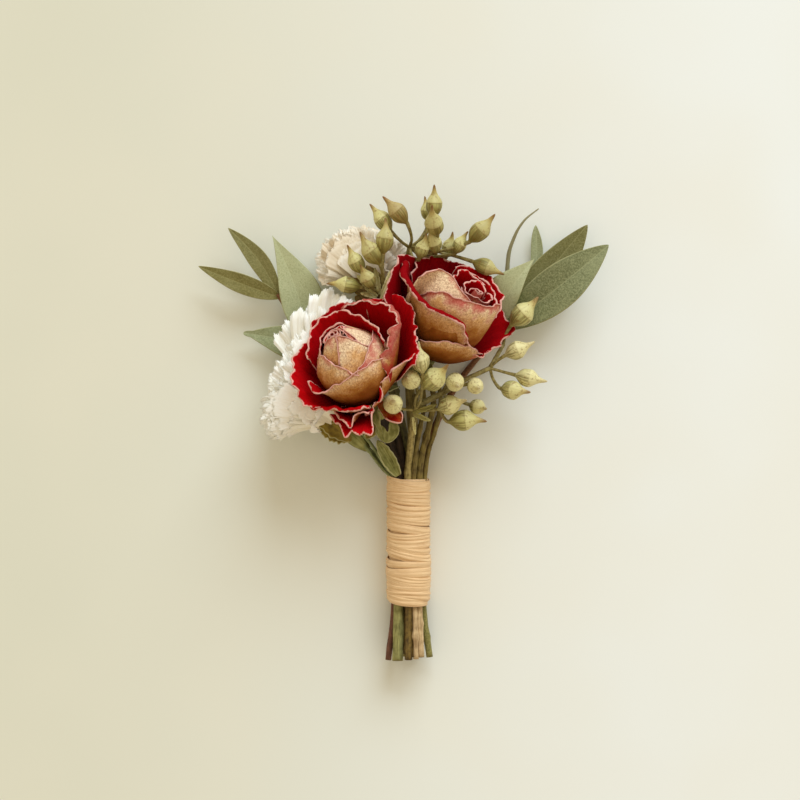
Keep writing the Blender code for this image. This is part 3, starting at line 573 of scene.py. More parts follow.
# %% Rear rose
REAR_ROSE = {
    "frame": frame_on((8, 24.3, 17), (0.481, 0.748, 0.454)), "lean": 0.5,
    "bud": [(0, 5), (5, 10), (10, 12.2), (15, 13), (20, 13), (25, 12.4), (28, 11.6), (30, 9.8), (33, 6)],
}
REAR_PETALS = [
    rim((0, 0.4, 28.8), (110, 0.6, 29.2), (220, 0.9, 29.4), (330, 1.2, 29.4), (440, 1.7, 29.2),
        (560, 2.3, 28.6), (650, 2.9, 28), belly=(3, 22), roll=0.12, waver=0.4, shift=(-1, 3.6), blush=9),
    rim((120, 3.4, 29.6), (170, 4, 30), (230, 4.4, 29.6), (290, 4.4, 29), (330, 4.8, 28), (380, 4.4, 27.4),
        belly=(5, 21), waver=0.7, shift=(-1, 3.2), blush=9),
    rim((300, 5, 28), (350, 6, 29), (400, 6.4, 29.4), (450, 6.6, 29.2), (500, 6.6, 28.4), belly=(7, 20),
        waver=0.8, shift=(-0.8, 2.4), blush=8),
    rim((160, 7, 29), (200, 7.8, 30.2), (240, 7.6, 30.2), (290, 7.2, 29.6), (330, 7.4, 28.6), belly=(8, 19),
        waver=0.9, shift=(-0.5, 1.6), blush=8),
    rim((60, 9.4, 27), (90, 9.8, 28.4), (125, 10, 29), (160, 10.4, 29.4), (195, 10.2, 29), (220, 9.6, 27.5),
        belly=(10, 18), waver=1.0, shift=(-0.3, 0.8), blush=7),
    rim((284, 15.4, 19), (289, 16.4, 23), (291, 16.4, 25.6), (288, 15.2, 27.8), (283, 13, 29.2),
        (282, 10.6, 30.1), (290, 8.4, 30.5), (306, 7.4, 30.6), (330, 7.4, 30.4), (355, 8.2, 30),
        (377, 10, 29.2), (400, 10.8, 28), belly=(19, 18, 14), waver=0.5, blush=1.0, pale=0.27),
    rim((284, 0.6, 16.4), (292, 0.6, 19), (301, 0.5, 21), (313, 0.4, 24.2), (332, 0.3, 27),
        (353, 0.3, 28.2), (385, 0.4, 29.2), (408, 0.5, 29.4), (430, 0.6, 29.4), (446, 0.8, 29.4),
        (460, 1, 28.6), (470, 1, 26), layer=0.5, roll=0.4, waver=0.6, blush=3.6, pale=0.04),
    rim((88, 13, 25), (101, 12.9, 27.6), (115, 13.4, 28.6), (130, 14.8, 28.8), (142, 14.4, 29.4),
        (157, 14.8, 29.6), (172, 16.4, 29.2), (192, 14.6, 28.8), (214, 13, 28), belly=(12.8, 17), waver=1.1,
        blush=6),
    rim((170, 15, 25), (188, 16.4, 27.4), (200, 17.8, 27), (209, 18.6, 26.6), (220, 19.8, 26),
        (236, 20.8, 25), (250, 20.4, 24), (263, 18, 21), belly=(14.6, 15), waver=1.3, blush=4, age=0.7),
    rim((264, 21.6, 23.6), (271, 21, 23.4), (278, 19.6, 22), (286, 17.4, 20.9), (296, 15.6, 20.4),
        (306, 14.6, 20.2), (321, 13.9, 20.2), (334, 13.4, 20.6), (346, 13, 21.4), (358, 13, 21.8),
        (373, 13, 22.2), (384, 13.1, 21.4), (391, 13.2, 19.5), (400, 13.2, 16.6), (410, 12.9, 13),
        (420, 12.6, 9.5), belly=(13.4, 12), roll=1.15, sweep=165, waver=0.35, blush=3.2, age=0.7,
        pale=-0.02),
    rim((228, 19, 21), (240, 20.8, 23), (252, 22, 24.2), (260, 23.2, 24.8), (267, 25.6, 24.4),
        (274, 24.6, 23), (280, 24.2, 20), (287, 23.8, 15), (300, 21, 10.5), belly=(15, 11), waver=0.8,
        blush=5, age=0.8),
    rim((74, 13.6, 9.6), (88, 16.4, 10.6), (100, 17.8, 11.8), (112, 20.6, 13.4), (120, 23.4, 16),
        (126, 25.6, 18.2), (132, 23.4, 19.8), (140, 20.6, 20.6), (150, 18, 21), belly=(13.4, 7), roll=0.4,
        waver=0.9, blush=3, age=0.4),
    rim((342, 12.6, 8), (352, 12.8, 9.4), (361, 13.4, 10.8), (375, 13.6, 13.4), (395, 13.3, 14.2),
        (412, 13.4, 14), (430, 13.8, 12.8), (442, 15, 11.6), (454, 16.6, 10), belly=(13.6, 4.5), roll=0.5,
        waver=0.6, blush=0.6, pale=-0.08),
    rim((140, 18.4, 20), (158, 20, 23), (178, 20.6, 24), (198, 20.4, 23), (218, 18.6, 20), belly=(15, 10),
        waver=1.2, blush=4, age=0.5),
    rim((190, 17, 12), (210, 19.4, 16), (232, 20.4, 17), (254, 20, 15), (272, 18, 11), belly=(15, 6),
        waver=1.2, blush=4, age=0.6),
]
print(len(REAR_PETALS), "petals on the rear rose")

# %% [markdown]
# The petals' finish mixes three zones by numbers that the mesh carries: which face it is, how far up the
# petal, and how far from the rim. Both faces darken towards the root, partly the dried petal's real
# browning and partly painted shade low on the petal and deep in the cup, and a number on each petal paints
# it lighter or darker besides, as painted light and shade. Fine veins run up each petal and fine speckles
# cover the outside, both far smaller than the mesh, so they come from noise. The noise for the veins is
# stretched along the petal by feeding it the petal's own coordinates instead of the room's. Below zero,
# age turns a red face straw instead of dark.

# %% Rose petal finish
petal = Finish("dried_rose_petal", roughness=0.7, specular=0.05)
up = petal.number("up")
from_rim = petal.number("from_rim")
blush = petal.number("blush")
age = petal.number("age")
where = petal.grid()
along_veins = petal.joined(petal.number("across"), petal.times(up, 2.2))
veins = petal.noise(along_veins, 2.6, detail=4, roughness=0.65)
speckle = petal.noise(where, 1.5, detail=5, roughness=0.85)
patches = petal.noise(where, 0.28, detail=3)
# darker towards the petal's root: partly the dried petal's real browning, partly painted shade low on the
# petal and deep in the cup
browning_and_shade = petal.plus(up, petal.times(petal.plus(patches, -0.5), 0.4))
# painted light and shade: each petal's own number makes it lighter or darker for how the light falls on it
browning_and_shade = petal.plus(browning_and_shade, petal.number("pale"))
cream = petal.ramp(
    browning_and_shade, (0.2, 62, 26, 4), (0.54, 132, 74, 18), (0.7, 178, 120, 56), (0.84, 228, 180, 124),
    (0.98, 255, 228, 190),
)
cream = petal.washed(cream, (142, 66, 28), speckle, 0.46, 0.58, 0, 0.52)
cells = petal.node("ShaderNodeTexVoronoi", {"feature": "DISTANCE_TO_EDGE"}, Vector=where, Scale=0.95)
cracks = petal.band(cells.outputs["Distance"], 0.02, 0.16, 0.26, 0)
cracks = petal.times(cracks, petal.band(patches, 0.35, 0.6, 0.3, 1))
cream = petal.mix(cracks, cream, srgb(138, 72, 40))
spread = petal.times(blush, petal.band(patches, 0.3, 0.7, 0.25, 1.9))
depth = petal.maths("DIVIDE", from_rim, petal.plus(spread, 0.1))
flush = petal.mix(petal.band(blush, 2.0, 7.0), srgb(192, 66, 66), srgb(168, 18, 36))
cream = petal.mix(petal.band(depth, 0.0, 1.6, 0.85, 0), cream, flush)
# the red is darkest at the root, deep in the cup: painted shade
red = petal.ramp(browning_and_shade, (0.15, 60, 0, 4), (0.5, 146, 0, 6), (0.95, 198, 3, 10))
red = petal.mix(petal.times(age, 0.7), red, srgb(70, 0, 12))
yellowed = petal.ramp(patches, (0.35, 168, 30, 16), (0.5, 196, 92, 40), (0.65, 196, 166, 84))
red = petal.mix(petal.band(age, -1, -0.2, 0.85, 0), red, yellowed)
red = petal.washed(red, (92, 0, 12), veins, 0.3, 0.75, 0.3, 0)
face = petal.mix(petal.band(petal.number("inner_face"), 0.4, 0.6), cream, red)
edge_width = petal.band(petal.noise(where, 0.45, detail=3), 0.3, 0.62, 0.14, 0.66)
edge = petal.band(petal.maths("SUBTRACT", from_rim, edge_width), -0.08, 0.08, 1, 0)
petal.colour(petal.mix(petal.times(edge, 0.9), face, srgb(232, 182, 170)))
petal.relief(petal.mix(0.45, veins, speckle), 0.4, 0.9)

# %% Make the blooms
blooms = []
for name, rose, petals, seed in (
    ("rose_front", FRONT_ROSE, FRONT_PETALS, 5), ("rose_rear", REAR_ROSE, REAR_PETALS, 8),
):
    rng = random.Random(seed)
    bloom = Pile("inner_face", "from_rim", "up", "across", "blush", "age", "pale")
    for knots, ways in petals:
        rose_petal(bloom, rose, rng, knots, **ways)
    blooms.append(bloom.finished(name + "_bloom", petal, name + "_petals", "rose_petal"))

# %% [markdown]
# ## The carnations
#
# A carnation is a tuft of some fifty petals. Each is a narrow claw that opens into a ruffled fan with a
# finely toothed rim, and dried they shrink to a soft cream. The left one lies under the front rose and is
# pressed flat by it; the top one shows behind the buds.
#
# Fur or particles would give the softness but no petals, so each petal is a real sheet: a fan that widens
# from its claw, ripples across its width and has teeth along its rim. The petals bend level near the floor
# and stay below the roses, whose undersides we find by casting a ray up from each point.

# %% Under the roses
FAN_ROWS = 13
FAN_COLUMNS = 57
FAN_THICKNESS = 0.14
TOOTH = 0.55
TWIST = 0.8
PRESSED = 4.0
UNDER = 0.7
undersides = [
    BVHTree.FromPolygons([v.co for v in piece.data.vertices], [p.vertices for p in piece.data.polygons])
    for piece in blooms
]


def lowest_rose(x, y):
    """The height in millimetres of the roses' underside over a point, or 99 where there is none."""
    found = 99.0
    for tree in undersides:
        hit = tree.ray_cast(Vector((x * MM, y * MM, -0.01)), Vector((0, 0, 1)))[0]
        if hit is not None:
            found = min(found, hit.z / MM)
    return found


def press(point, low, high):
    """Bends a point level near the floor, and keeps it below what lies on it."""
    above = point[2] - low - PRESSED
    if above < 0:
        point[2] -= above - PRESSED * (math.exp(above / PRESSED) - 1)
    high = min(high, lowest_rose(point[0], point[1]) - UNDER)
    below = high - PRESSED / 2 - point[2]
    if below < 0:
        point[2] += below - PRESSED / 2 * (math.exp(below / PRESSED * 2) - 1)
    return point


# %% Carnation petals
def waves(rng, u, v, *kinds):
    """A sum of waves across a petal, each as (height, fewest turns, most turns, power up the petal)."""
    total = 0
    for height, fewest, most, power in kinds:
        total = total + height * np.sin(u * rng.uniform(fewest, most) + rng.uniform(0, 6)) * v**power
    return total


def carnation_petal(pile, flower, rng, tilt, azimuth, width):
    """One petal that leans out from the flower's axis by tilt, on the side of azimuth, in degrees.

    How far it reaches depends on its lean to the left or right, and the upper ones are shorter.
    """
    origin, (up, right, axis) = frame_on(flower["throat"], flower["axis"])
    u = np.linspace(-1, 1, FAN_COLUMNS)[None, :]
    v = (np.linspace(0, 1, FAN_ROWS) ** 0.75)[:, None]
    turn = math.radians(azimuth)
    outward = math.cos(turn) * up + math.sin(turn) * right
    around = math.cos(turn) * right - math.sin(turn) * up
    angles, reaches = zip(*flower["reach"])
    length = np.interp(tilt * math.sin(turn), angles, reaches) * rng.uniform(0.87, 1.0)
    length *= 1 - flower["steps"] * max(math.cos(turn), 0) * tilt / 40
    lean = math.radians(tilt) * (0.4 + 0.6 * v) + rng.uniform(-0.05, 0.05)
    lean = lean + math.radians(rng.uniform(*flower["curl"])) * v**4
    away = (flower["claws"] + length * v * np.sin(lean)) * outward
    spine = origin + away + length * v * np.cos(lean) * axis
    forward = np.gradient(spine, axis=0)
    forward /= np.linalg.norm(forward, axis=1)[:, None]
    level = np.cross((0, 0, 1), forward)
    level *= math.copysign(1, np.sum(level @ around)) / np.linalg.norm(level, axis=1)[:, None]
    levelled = TWIST * np.minimum(v / 0.4, 1)
    side = (1 - levelled) * around + levelled * level
    side /= np.linalg.norm(side, axis=1)[:, None]
    face = np.cross(side, forward)
    teeth = np.array([rng.uniform(0.2, 1.0) * (-1) ** n for n in range(FAN_COLUMNS)])[None, :] * TOOTH
    lobes = waves(rng, u, v, (0.022, 5, 9, 0), (0.01, 16, 24, 6))
    longer = teeth * v**14 + length * v * (lobes * v**5 - 0.1 * u * u * v)
    ripple = waves(rng, u, v, (0.045, 5, 9, 0.9), (0.012, 12, 18, 2), (0.012, 24, 32, 4), (0.01, 44, 52, 7))
    wide = u * width / 2 * (0.1 + 0.9 * v**1.3)
    grid = spine[:, None] + wide[..., None] * side[:, None] + longer[..., None] * forward[:, None]
    grid = grid + (width * ripple)[..., None] * face[:, None]
    for point in grid.reshape(-1, 3):
        press(point, flower["floor"], flower["ceiling"])
    add_sheet(
        pile, grid, FAN_THICKNESS, up=v + 0 * u, across=wide, from_rim=(1 - v) * length + 0 * u,
        tint=rng.uniform(0, 1) + flower["dusk"],
    )


# %% [markdown]
# The finish is a warm white that turns to straw towards the claw, with fine streaks along the petal. Dried
# petals are matt, so the surface is rough and hardly shines. The top carnation has dried a shade darker,
# which a number on its petals says.

# %% Carnation finish
fan = Finish("dried_carnation_petal", roughness=0.9, specular=0.05)
fan_up = fan.number("up")
fan_tint = fan.number("tint")
streaks = fan.noise(fan.joined(fan.number("across"), fan.times(fan_up, 3.0), fan_tint), 2.2, detail=4)
clouds = fan.noise(fan.grid(), 0.16, detail=3)
yellowing = fan.plus(fan_up, fan.times(fan.plus(clouds, -0.5), 0.5))
white = fan.ramp(
    yellowing, (0.05, 226, 212, 160), (0.3, 250, 240, 214), (0.6, 255, 251, 238), (0.95, 255, 255, 250),
)
white = fan.washed(white, (226, 208, 170), streaks, 0.3, 0.6, 0.16, 0)
fan.colour(fan.washed(white, (228, 202, 160), fan_tint, 0.9, 2.3, 0, 0.6))
fan.relief(streaks, 0.1, 0.6)

# %% [markdown]
# The petals stand in rings, each with a count and a lean from the flower's axis. How far they reach is a
# list of pairs, a lean to the left or right and a length, because neither carnation is round: one is
# squashed by a rose and the other by the buds. A narrow flower leans less to its left. The left carnation
# also has a mantle, a few long petals that hang down at its lower left, each by its lean, the side that it
# hangs to and its width.

# %% Make the carnations
CARNATIONS = {
    "carnation_left": {
        "throat": (-19.5, -2.5, 11.5), "axis": (-0.73, 0.66, 0.17), "floor": 6.6, "ceiling": 23.5,
        "rings": [(6, 8), (9, 17), (11, 26), (13, 35), (15, 44)], "width": (12, 18), "narrow": 0.68,
        "reach": [
            (-44, 28), (-30, 29.5), (-18, 30), (-3, 31), (3, 34.5), (10, 36.5), (17, 40), (23, 43), (32, 45),
            (47, 53),
        ],
        "claws": 1.2, "steps": 0.2, "curl": (-6, 9), "dusk": 0,
        "mantle": [
            (43, -84, 6), (39, -80, 8), (33, -76, 13), (36, -60, 12), (31, -56, 14), (34, -44, 13),
            (27, -46, 14), (30, -28, 13),
        ],
    },
    "carnation_top": {
        "throat": (-9, 41, 8.5), "axis": (-0.28, 0.95, 0.12), "floor": 4.6, "ceiling": 17,
        "rings": [(6, 8), (9, 17), (11, 26), (12, 34), (9, 40)], "width": (10, 15), "narrow": 0.9,
        "reach": [(-42, 22), (-33, 26), (-25, 29), (-9, 30.2), (0, 29.4), (13, 27), (38, 24.5)],
        "claws": 1.2, "steps": 0.15, "curl": (-6, 8), "dusk": 1.3, "mantle": [],
    },
}
RIGHTWARD = 0.08
for name, flower in CARNATIONS.items():
    rng = random.Random(name)
    tuft = Pile("inner_face", "from_rim", "up", "across", "tint")
    for ring, (count, tilt) in enumerate(flower["rings"]):
        for n in range(count):
            azimuth = 360 * (n + rng.uniform(-0.3, 0.3)) / count + 47 * ring
            sideways = math.sin(math.radians(azimuth))
            spread = 1 + (1 - flower["narrow"]) * min(sideways, 0) + RIGHTWARD * max(sideways, 0)
            lean = tilt * rng.uniform(0.85, 1.05) * spread
            carnation_petal(tuft, flower, rng, lean, azimuth, rng.uniform(*flower["width"]))
    for lean, azimuth, width in flower["mantle"]:
        carnation_petal(tuft, flower | {"steps": -0.14, "curl": (-3, 2)}, rng, lean, azimuth, width)
    tuft.finished(name + "_bloom", fan, name + "_petals", "carnation_petal")

# %% [markdown]
# ## The stems
#
# The stems run together through the wrap, one in the middle and seven round it, and end in straight cuts.
# Each plant has its own cane: one rose's is green at its cut and near black above the wrap, a black that is
# painted shade for the dark gap between the stems there, and the other's beige; the carnations' are brown
# and maroon with fine grooves, and the eucalyptus twigs are woody. A tube along a smooth route is the plain
# way to make one. Its radius is a rule of the place along and round it, so that a groove, a joint or a
# scar is shape and not paint.

# %% Tubes
def smooth_route(points, spans):
    """A smooth curve that neither bends on a straight stretch nor overshoots at a turn."""
    knots = np.array(points, float)
    lengths = np.linalg.norm(np.diff(knots, axis=0), axis=1)[:, None]
    secants = np.diff(knots, axis=0) / lengths
    before, after = secants[:-1], secants[1:]
    total = np.where(before * after > 0, before + after, 1)
    bends = np.where(before * after > 0, 2 * before * after / total, 0)
    slopes = np.vstack([secants[:1], bends, secants[-1:]])
    found = []
    for n, span in enumerate(lengths[:, 0]):
        for t in np.arange(spans) / spans:
            here = (2 * t**3 - 3 * t**2 + 1) * knots[n] + (t**3 - 2 * t**2 + t) * span * slopes[n]
            there = (3 * t**2 - 2 * t**3) * knots[n + 1] + (t**3 - t**2) * span * slopes[n + 1]
            found.append(here + there)
    return np.array([*found, knots[-1]])


def add_tube(pile, route, radius, sides=14, start=0.0, **numbers):
    """A closed tube along a route. radius(share, angle) gives its radius there, in millimetres.

    The number along counts on from start, which is where the tube begins on its plant.
    """
    route = np.asarray(route, float)
    count = len(route)
    forward = np.gradient(route, axis=0)
    forward /= np.linalg.norm(forward, axis=1)[:, None]
    side = np.cross(forward[0], (0.3, 0.2, 0.9))
    rings = []
    angles = np.arange(sides) / sides * 2 * math.pi
    travelled = np.concatenate([[0], np.cumsum(np.linalg.norm(np.diff(route, axis=0), axis=1))])
    for n in range(count):
        side = side - forward[n] * (side @ forward[n])
        side /= np.linalg.norm(side)
        other = np.cross(forward[n], side)
        wide = np.array([radius(travelled[n] / travelled[-1], angle) for angle in angles])[:, None]
        rings.append(route[n] + wide * (np.cos(angles)[:, None] * side + np.sin(angles)[:, None] * other))
    points = np.vstack([*rings, route[:1], route[-1:]])
    faces = grid_faces(count, sides, closed=True)
    first_middle, last_middle = count * sides, count * sides + 1
    last_ring = (count - 1) * sides
    for k in range(sides):
        m = (k + 1) % sides
        faces.append([first_middle, m, k])
        faces.append([last_middle, last_ring + k, last_ring + m])
    along = start + np.concatenate([np.repeat(travelled, sides), travelled[:1], travelled[-1:]])
    round_x, round_y = (np.append(np.tile(way(angles), count), [0, 0]) for way in (np.cos, np.sin))
    pile.add(points, faces, along=along, round_x=round_x, round_y=round_y, **numbers)


# %% Stems in the bundle
BUNDLE = (1.9, 7.05)
STEM_RING = 4.35
CUT_END = -82.3
WRAP_BOTTOM = -63.5
WRAP_TOP = -18.5


def in_bundle(slot, splay, cut, ring=STEM_RING):
    """A stem's way from its cut end through the wrap. Slot 0 is the middle, and 1 to 7 lie round it."""
    angle = math.radians(90 + 360 / 7 * (slot - 1))
    ring = ring if slot else 0
    x, z = ring * math.cos(angle), ring * math.sin(angle)
    return [
        (BUNDLE[0] + x * splay, CUT_END + cut, BUNDLE[1] + z * splay),
        (BUNDLE[0] + x, WRAP_BOTTOM + 3, BUNDLE[1] + z),
        (BUNDLE[0] + x, WRAP_TOP + 1.2, BUNDLE[1] + z),
    ]


def cane(rng, radii, joints=(), groove=0.0, knobs=0.03):
    """A rule for a stem's radius: its taper, joints as (share, height, width), grooves and small knobs."""
    starts = [rng.uniform(0, 6.3) for _ in range(4)]

    def radius(share, angle):
        found = np.interp(share, np.linspace(0, 1, len(radii)), radii)
        found *= 1 + knobs * math.sin(40 * share + starts[0] + 2 * math.sin(angle + starts[1]))
        found *= 1 + knobs * 0.7 * math.sin(97 * share + starts[2]) * math.sin(2 * angle + starts[3])
        found *= 1 - groove * (0.5 + 0.5 * math.cos(5 * angle + starts[1])) ** 2
        for place, height, width in joints:
            found *= 1 + height * math.exp(-(((share - place) / width) ** 2))
        return found

    return radius


def add_cane(pile, rng, way, radii, steps=10, sides=12, joints=(), groove=0.0, knobs=0.03, **numbers):
    """A stem or twig through the points of its way, with so many steps between two of them."""
    add_tube(pile, smooth_route(way, steps), cane(rng, radii, joints, groove, knobs), sides, **numbers)


# %% [markdown]
# One finish serves every stem: bark colours that vary along and round the cane, fine lines along it and
# darker cut ends. What grows on a stem is green, or golden where it has dried. The colours differ from
# plant to plant, so a small function makes one finish from two pairs of colours.


# %% Stem finish
def bark(name, dark, light, upper_dark, upper_light, roughness=0.7):
    """A cane's finish: one pair of colours near the cut end, and another above the wrap."""
    made = Finish(name, roughness=roughness, specular=0.3)
    along = made.number("along")
    leafy = made.number("leafy")
    lines = made.noise(made.joined(*made.circled(2.2), made.times(along, 0.12)), 2.0, detail=4)
    tone = made.mix(0.5, lines, made.noise(made.grid(), 0.35, detail=4))
    lower = made.ramp(tone, (0.36, *dark), (0.62, *light))
    upper = made.ramp(tone, (0.36, *upper_dark), (0.62, *upper_light))
    colour = made.mix(made.band(along, 30, 60), lower, upper)
    green = made.ramp(tone, (0.34, 86, 84, 32), (0.5, 130, 128, 68), (0.66, 172, 170, 108))
    colour = made.mix(made.band(leafy, 0.2, 0.8), colour, green)
    golden = made.ramp(tone, (0.36, 96, 74, 14), (0.64, 164, 142, 52))
    colour = made.mix(made.band(leafy, 1.2, 1.8), colour, golden)
    colour = made.washed(colour, (196, 190, 140), made.number("from_rim"), 0.12, 0.5, 0.75, 0)
    made.colour(made.washed(colour, (112, 88, 52), along, 0.0, 0.5, 0.55, 0))
    made.relief(lines, 0.25, 0.8)
    return made


# the front rose's bark is near black above the wrap: painted shade for the dark gap between the stems there
rose_bark_with_painted_shade = bark("dried_rose_stem", (96, 92, 46), (164, 160, 100), (16, 10, 6), (62, 44, 28))
beige_bark = bark("dried_rose_stem_beige", (150, 120, 82), (224, 196, 150), (66, 50, 20), (150, 132, 70))
middle_bark = bark("dried_carnation_stem", (66, 52, 18), (118, 94, 44), (70, 62, 34), (132, 124, 76))
maroon_bark = bark(
    "dried_carnation_stem_maroon", (70, 38, 30), (136, 92, 70), (92, 98, 54), (158, 164, 112), roughness=0.6,
)
print("four kinds of bark")

# %% [markdown]
# ## Hips, sepals and calyxes
#
# A rose sits on a small green hip with five pointed sepals bent back from it. A carnation sits in a long
# tubular calyx, ribbed, with short teeth. Both are turned shapes, because they grew round an axis. The
# sepals are narrow sheets with a fold along the middle. Thin shoots run beside the roses' stems, and each
# is given by its way, its radii and its joints.

# %% Turned shapes
def add_turned(pile, profile, frame_at, samples=26, sides=28, shape=None, size=1.0, bend=(0, 0), **numbers):
    """A turned shape. Its profile runs from its tip to its foot, as (radius, height), and grows by size.

    shape(height, angle) makes it wider or narrower there, and bend leads a tip that is over 7 mm high aside.
    """
    line = smooth_line(profile, np.linspace(0, 1, samples))
    angles = np.arange(sides) / sides * 2 * math.pi
    height, angle = np.meshgrid(line[:, 1], angles, indexing="ij")
    radius = np.repeat(np.maximum(line[:, :1], 0.01), sides, axis=1)
    if shape is not None:
        radius = radius * shape(height, angle)
    radius = radius * size
    height = height * size
    bent = np.clip((height - 7) / 5, 0, 1.2) ** 1.6
    x = radius * np.cos(angle) + bend[0] * bent
    y = radius * np.sin(angle) + bend[1] * bent
    local = np.stack([x, y, height], axis=2).reshape(-1, 3)
    faces = grid_faces(samples, sides, flip=True, closed=True)
    faces.append(list(range(sides)))
    faces.append([(samples - 1) * sides + k for k in range(sides)][::-1])
    up = np.repeat(line[:, 1], sides)
    round_x, round_y = np.tile(np.cos(angles), samples), np.tile(np.sin(angles), samples)
    pile.add(placed(local, frame_at), faces, up=up, round_x=round_x, round_y=round_y, **numbers)


# %% Hips and sepals
HIP = [(0.01, -0.7), (3.7, -0.7), (4.3, -2.2), (3.9, -5), (2.3, -8), (1.6, -11)]
STEM_NUMBERS = ("inner_face", "up", "along", "round_x", "round_y", "leafy", "from_rim")
ON_PLANT = 100.0
NO_RIM = 9


def sepal(pile, rose_frame, rng, azimuth, bend, length):
    u = np.linspace(-1, 1, 13)[None, :]
    v = np.linspace(0, 1, 22)[:, None]
    middle = math.radians(azimuth)
    radius = 2.6 + length * v * (1 - 0.2 * v) + 0 * u
    wave = 0.35 * np.sin(v * 9 + rng.uniform(0, 6)) * u * v
    height = -2.2 - bend * v**1.6 + 0.7 * np.abs(u) * (1 - v) + wave
    side = u * 2.2 * (1 - 0.9 * v**1.3) * (1 + 0.18 * np.sin(v * 17 + rng.uniform(0, 6)))
    x = radius * math.cos(middle) - side * math.sin(middle)
    y = radius * math.sin(middle) + side * math.cos(middle)
    grid = placed(np.stack([x, y, height], axis=2), rose_frame)
    from_rim = (1 - np.abs(u)) * 2.2
    add_sheet(pile, grid, 0.35, along=ON_PLANT + v * length, round_x=u, leafy=1, from_rim=from_rim)


# %% Make the roses' stems
ROSE_STEMS = {
    "rose_front": {
        # near-black bark above the wrap on this cane and its shoots: painted shade for the dark gap between
        # the stems
        "rose": FRONT_ROSE, "bark": rose_bark_with_painted_shade, "radii": [1.9, 1.75, 1.6],
        "way": in_bundle(2, 1.12, 0) + [(-4, -9, 12.5)],
        "sepals": [(100, 3, 10), (160, 0, 9), (225, 0, 9), (290, 2, 11.5), (345, 6, 11.5)],
        "shoots": [
            ([(0.4, -20, 8.6), (-0.9, -10, 10), (-3.4, 0, 12.6), (-6, 8, 14)], [1.6, 1.7, 1.5], ()),
            ([(-2.2, -20, 10.4), (-3.4, -11, 12.4), (-6, -1, 13.6), (-8, 6, 15)], [0.7, 0.7, 0.6], ()),
        ],
    },
    "rose_rear": {
        "rose": REAR_ROSE, "bark": beige_bark, "radii": [1.25, 1.5, 1.6],
        "way": in_bundle(7, 1.2, 1.2, 4.6) + [(3.5, -6, 10.2)],
        "sepals": [(40, 5, 11.5), (140, 1, 9), (200, 1, 9), (255, 3, 10), (320, 5, 11.5)],
        "shoots": [
            (
                [(4.5, -81.6, 11.7), (4.05, -62, 11.4), (3.95, -50, 11.3)],
                [1.0, 0.95, 1.1], [(0.25, 0.6, 0.025)],
            ),
            (
                [(3.6, -20, 12.1), (4.2, -12, 12.6), (5.8, -2, 12.6), (7.4, 7, 13), (6.4, 16, 13.8)],
                [0.9, 0.8, 0.7], [(0.5, 0.4, 0.03)],
            ),
            (
                [(5.4, -20, 10.6), (6.4, -12, 10.8), (9, -1, 10.6), (10.6, 8, 12), (8.4, 17, 13.8)],
                [1.2, 1.1, 0.9], [(0.4, 0.3, 0.03)],
            ),
            (
                [(7.4, -20, 9.6), (8.6, -11, 9.6), (11.6, -1, 9.8), (13, 8, 11.4), (11.4, 18, 13.6)],
                [0.8, 0.8, 0.7], (),
            ),
            ([(2.2, -20, 10.2), (2.8, -10, 10), (3.4, 0, 9.6), (3.6, 10, 10)], [1.2, 1.2, 1.1], ()),
        ],
    },
}
for name, stem in ROSE_STEMS.items():
    rng = random.Random(name)
    stalk = Pile(*STEM_NUMBERS)
    rose_frame = stem["rose"]["frame"]
    origin, (*_, axis) = rose_frame
    way = [*stem["way"], origin - 12 * axis, origin - 6 * axis]
    add_cane(stalk, rng, way, stem["radii"], 14, 20, [(0.11, 0.28, 0.008)], groove=0.14, from_rim=NO_RIM)
    for way, radii, joints in stem["shoots"]:
        ways = {"joints": joints, "groove": 0.1, "knobs": 0.05, "start": way[0][1] - CUT_END}
        add_cane(stalk, rng, way, radii, **ways, from_rim=NO_RIM)
    add_turned(stalk, HIP, rose_frame, samples=16, sides=24, along=ON_PLANT, leafy=1, from_rim=NO_RIM)
    for shape in stem["sepals"]:
        sepal(stalk, rose_frame, rng, *shape)
    stalk.finished(name + "_cane", stem["bark"], name + "_stem", "rose_stem")

# %% [markdown]
# The carnations' stems are made in the same way. The left one has two thin side stalks and a few small
# leaves, which show between the roses and the wrap. Each leaf is given by its foot, its tip, its width, how
# it rises and folds, how deep its teeth are, and whether it is green or golden.

# %% Calyxes and small leaves
CALYX = [(0.01, -1.1), (2.6, -1.1), (2.9, -3), (2.6, -5.6), (1.9, -8), (1.2, -10)]


def ribs(height, angle):
    return 1 + 0.035 * np.cos(20 * angle) + 0.05 * np.cos(5 * angle) * np.clip((height + 5) / 4, 0, 1)


def blade_grid(foot, tip, u, v, half, lift, bow=0.0):
    """Points on a blade from foot to tip, with half its width to each side of a line that lifts and bows."""
    forward = np.subtract(tip, foot)
    across = np.cross((0, 0, 1), forward)
    across /= np.linalg.norm(across)
    upward = np.array([0, 0, 1])
    return foot + forward * v[..., None] + across * (bow + half * u)[..., None] + upward * lift[..., None]


def leaflet(pile, rng, foot, tip, width, rise, fold, teeth, leafy=0, **numbers):
    """A small dry leaf or bract with a toothed border. leafy is 1 for a green one and 2 for a golden one."""
    u = np.linspace(-1, 1, 15)[None, :]
    v = np.linspace(0, 1, 40)[:, None]
    bites = 1 + teeth * (np.sin(v * rng.uniform(36, 46)) + 0.8 * np.sin(v * rng.uniform(18, 26)))
    half = width / 2 * np.maximum(np.sin(math.pi * (0.06 + 0.94 * v)), 0) ** 0.55 * bites
    lift = rise * np.sin(math.pi * v) + fold * u * u * half / width * 2 + 0.15 * np.sin(9 * v + 4 * u)
    from_rim = (1 - np.abs(u)) * half + 0.12
    grid = blade_grid(foot, tip, u, v, half, lift)
    add_sheet(pile, grid, 0.3, along=ON_PLANT + v * 9, round_x=u, leafy=leafy, from_rim=from_rim, **numbers)


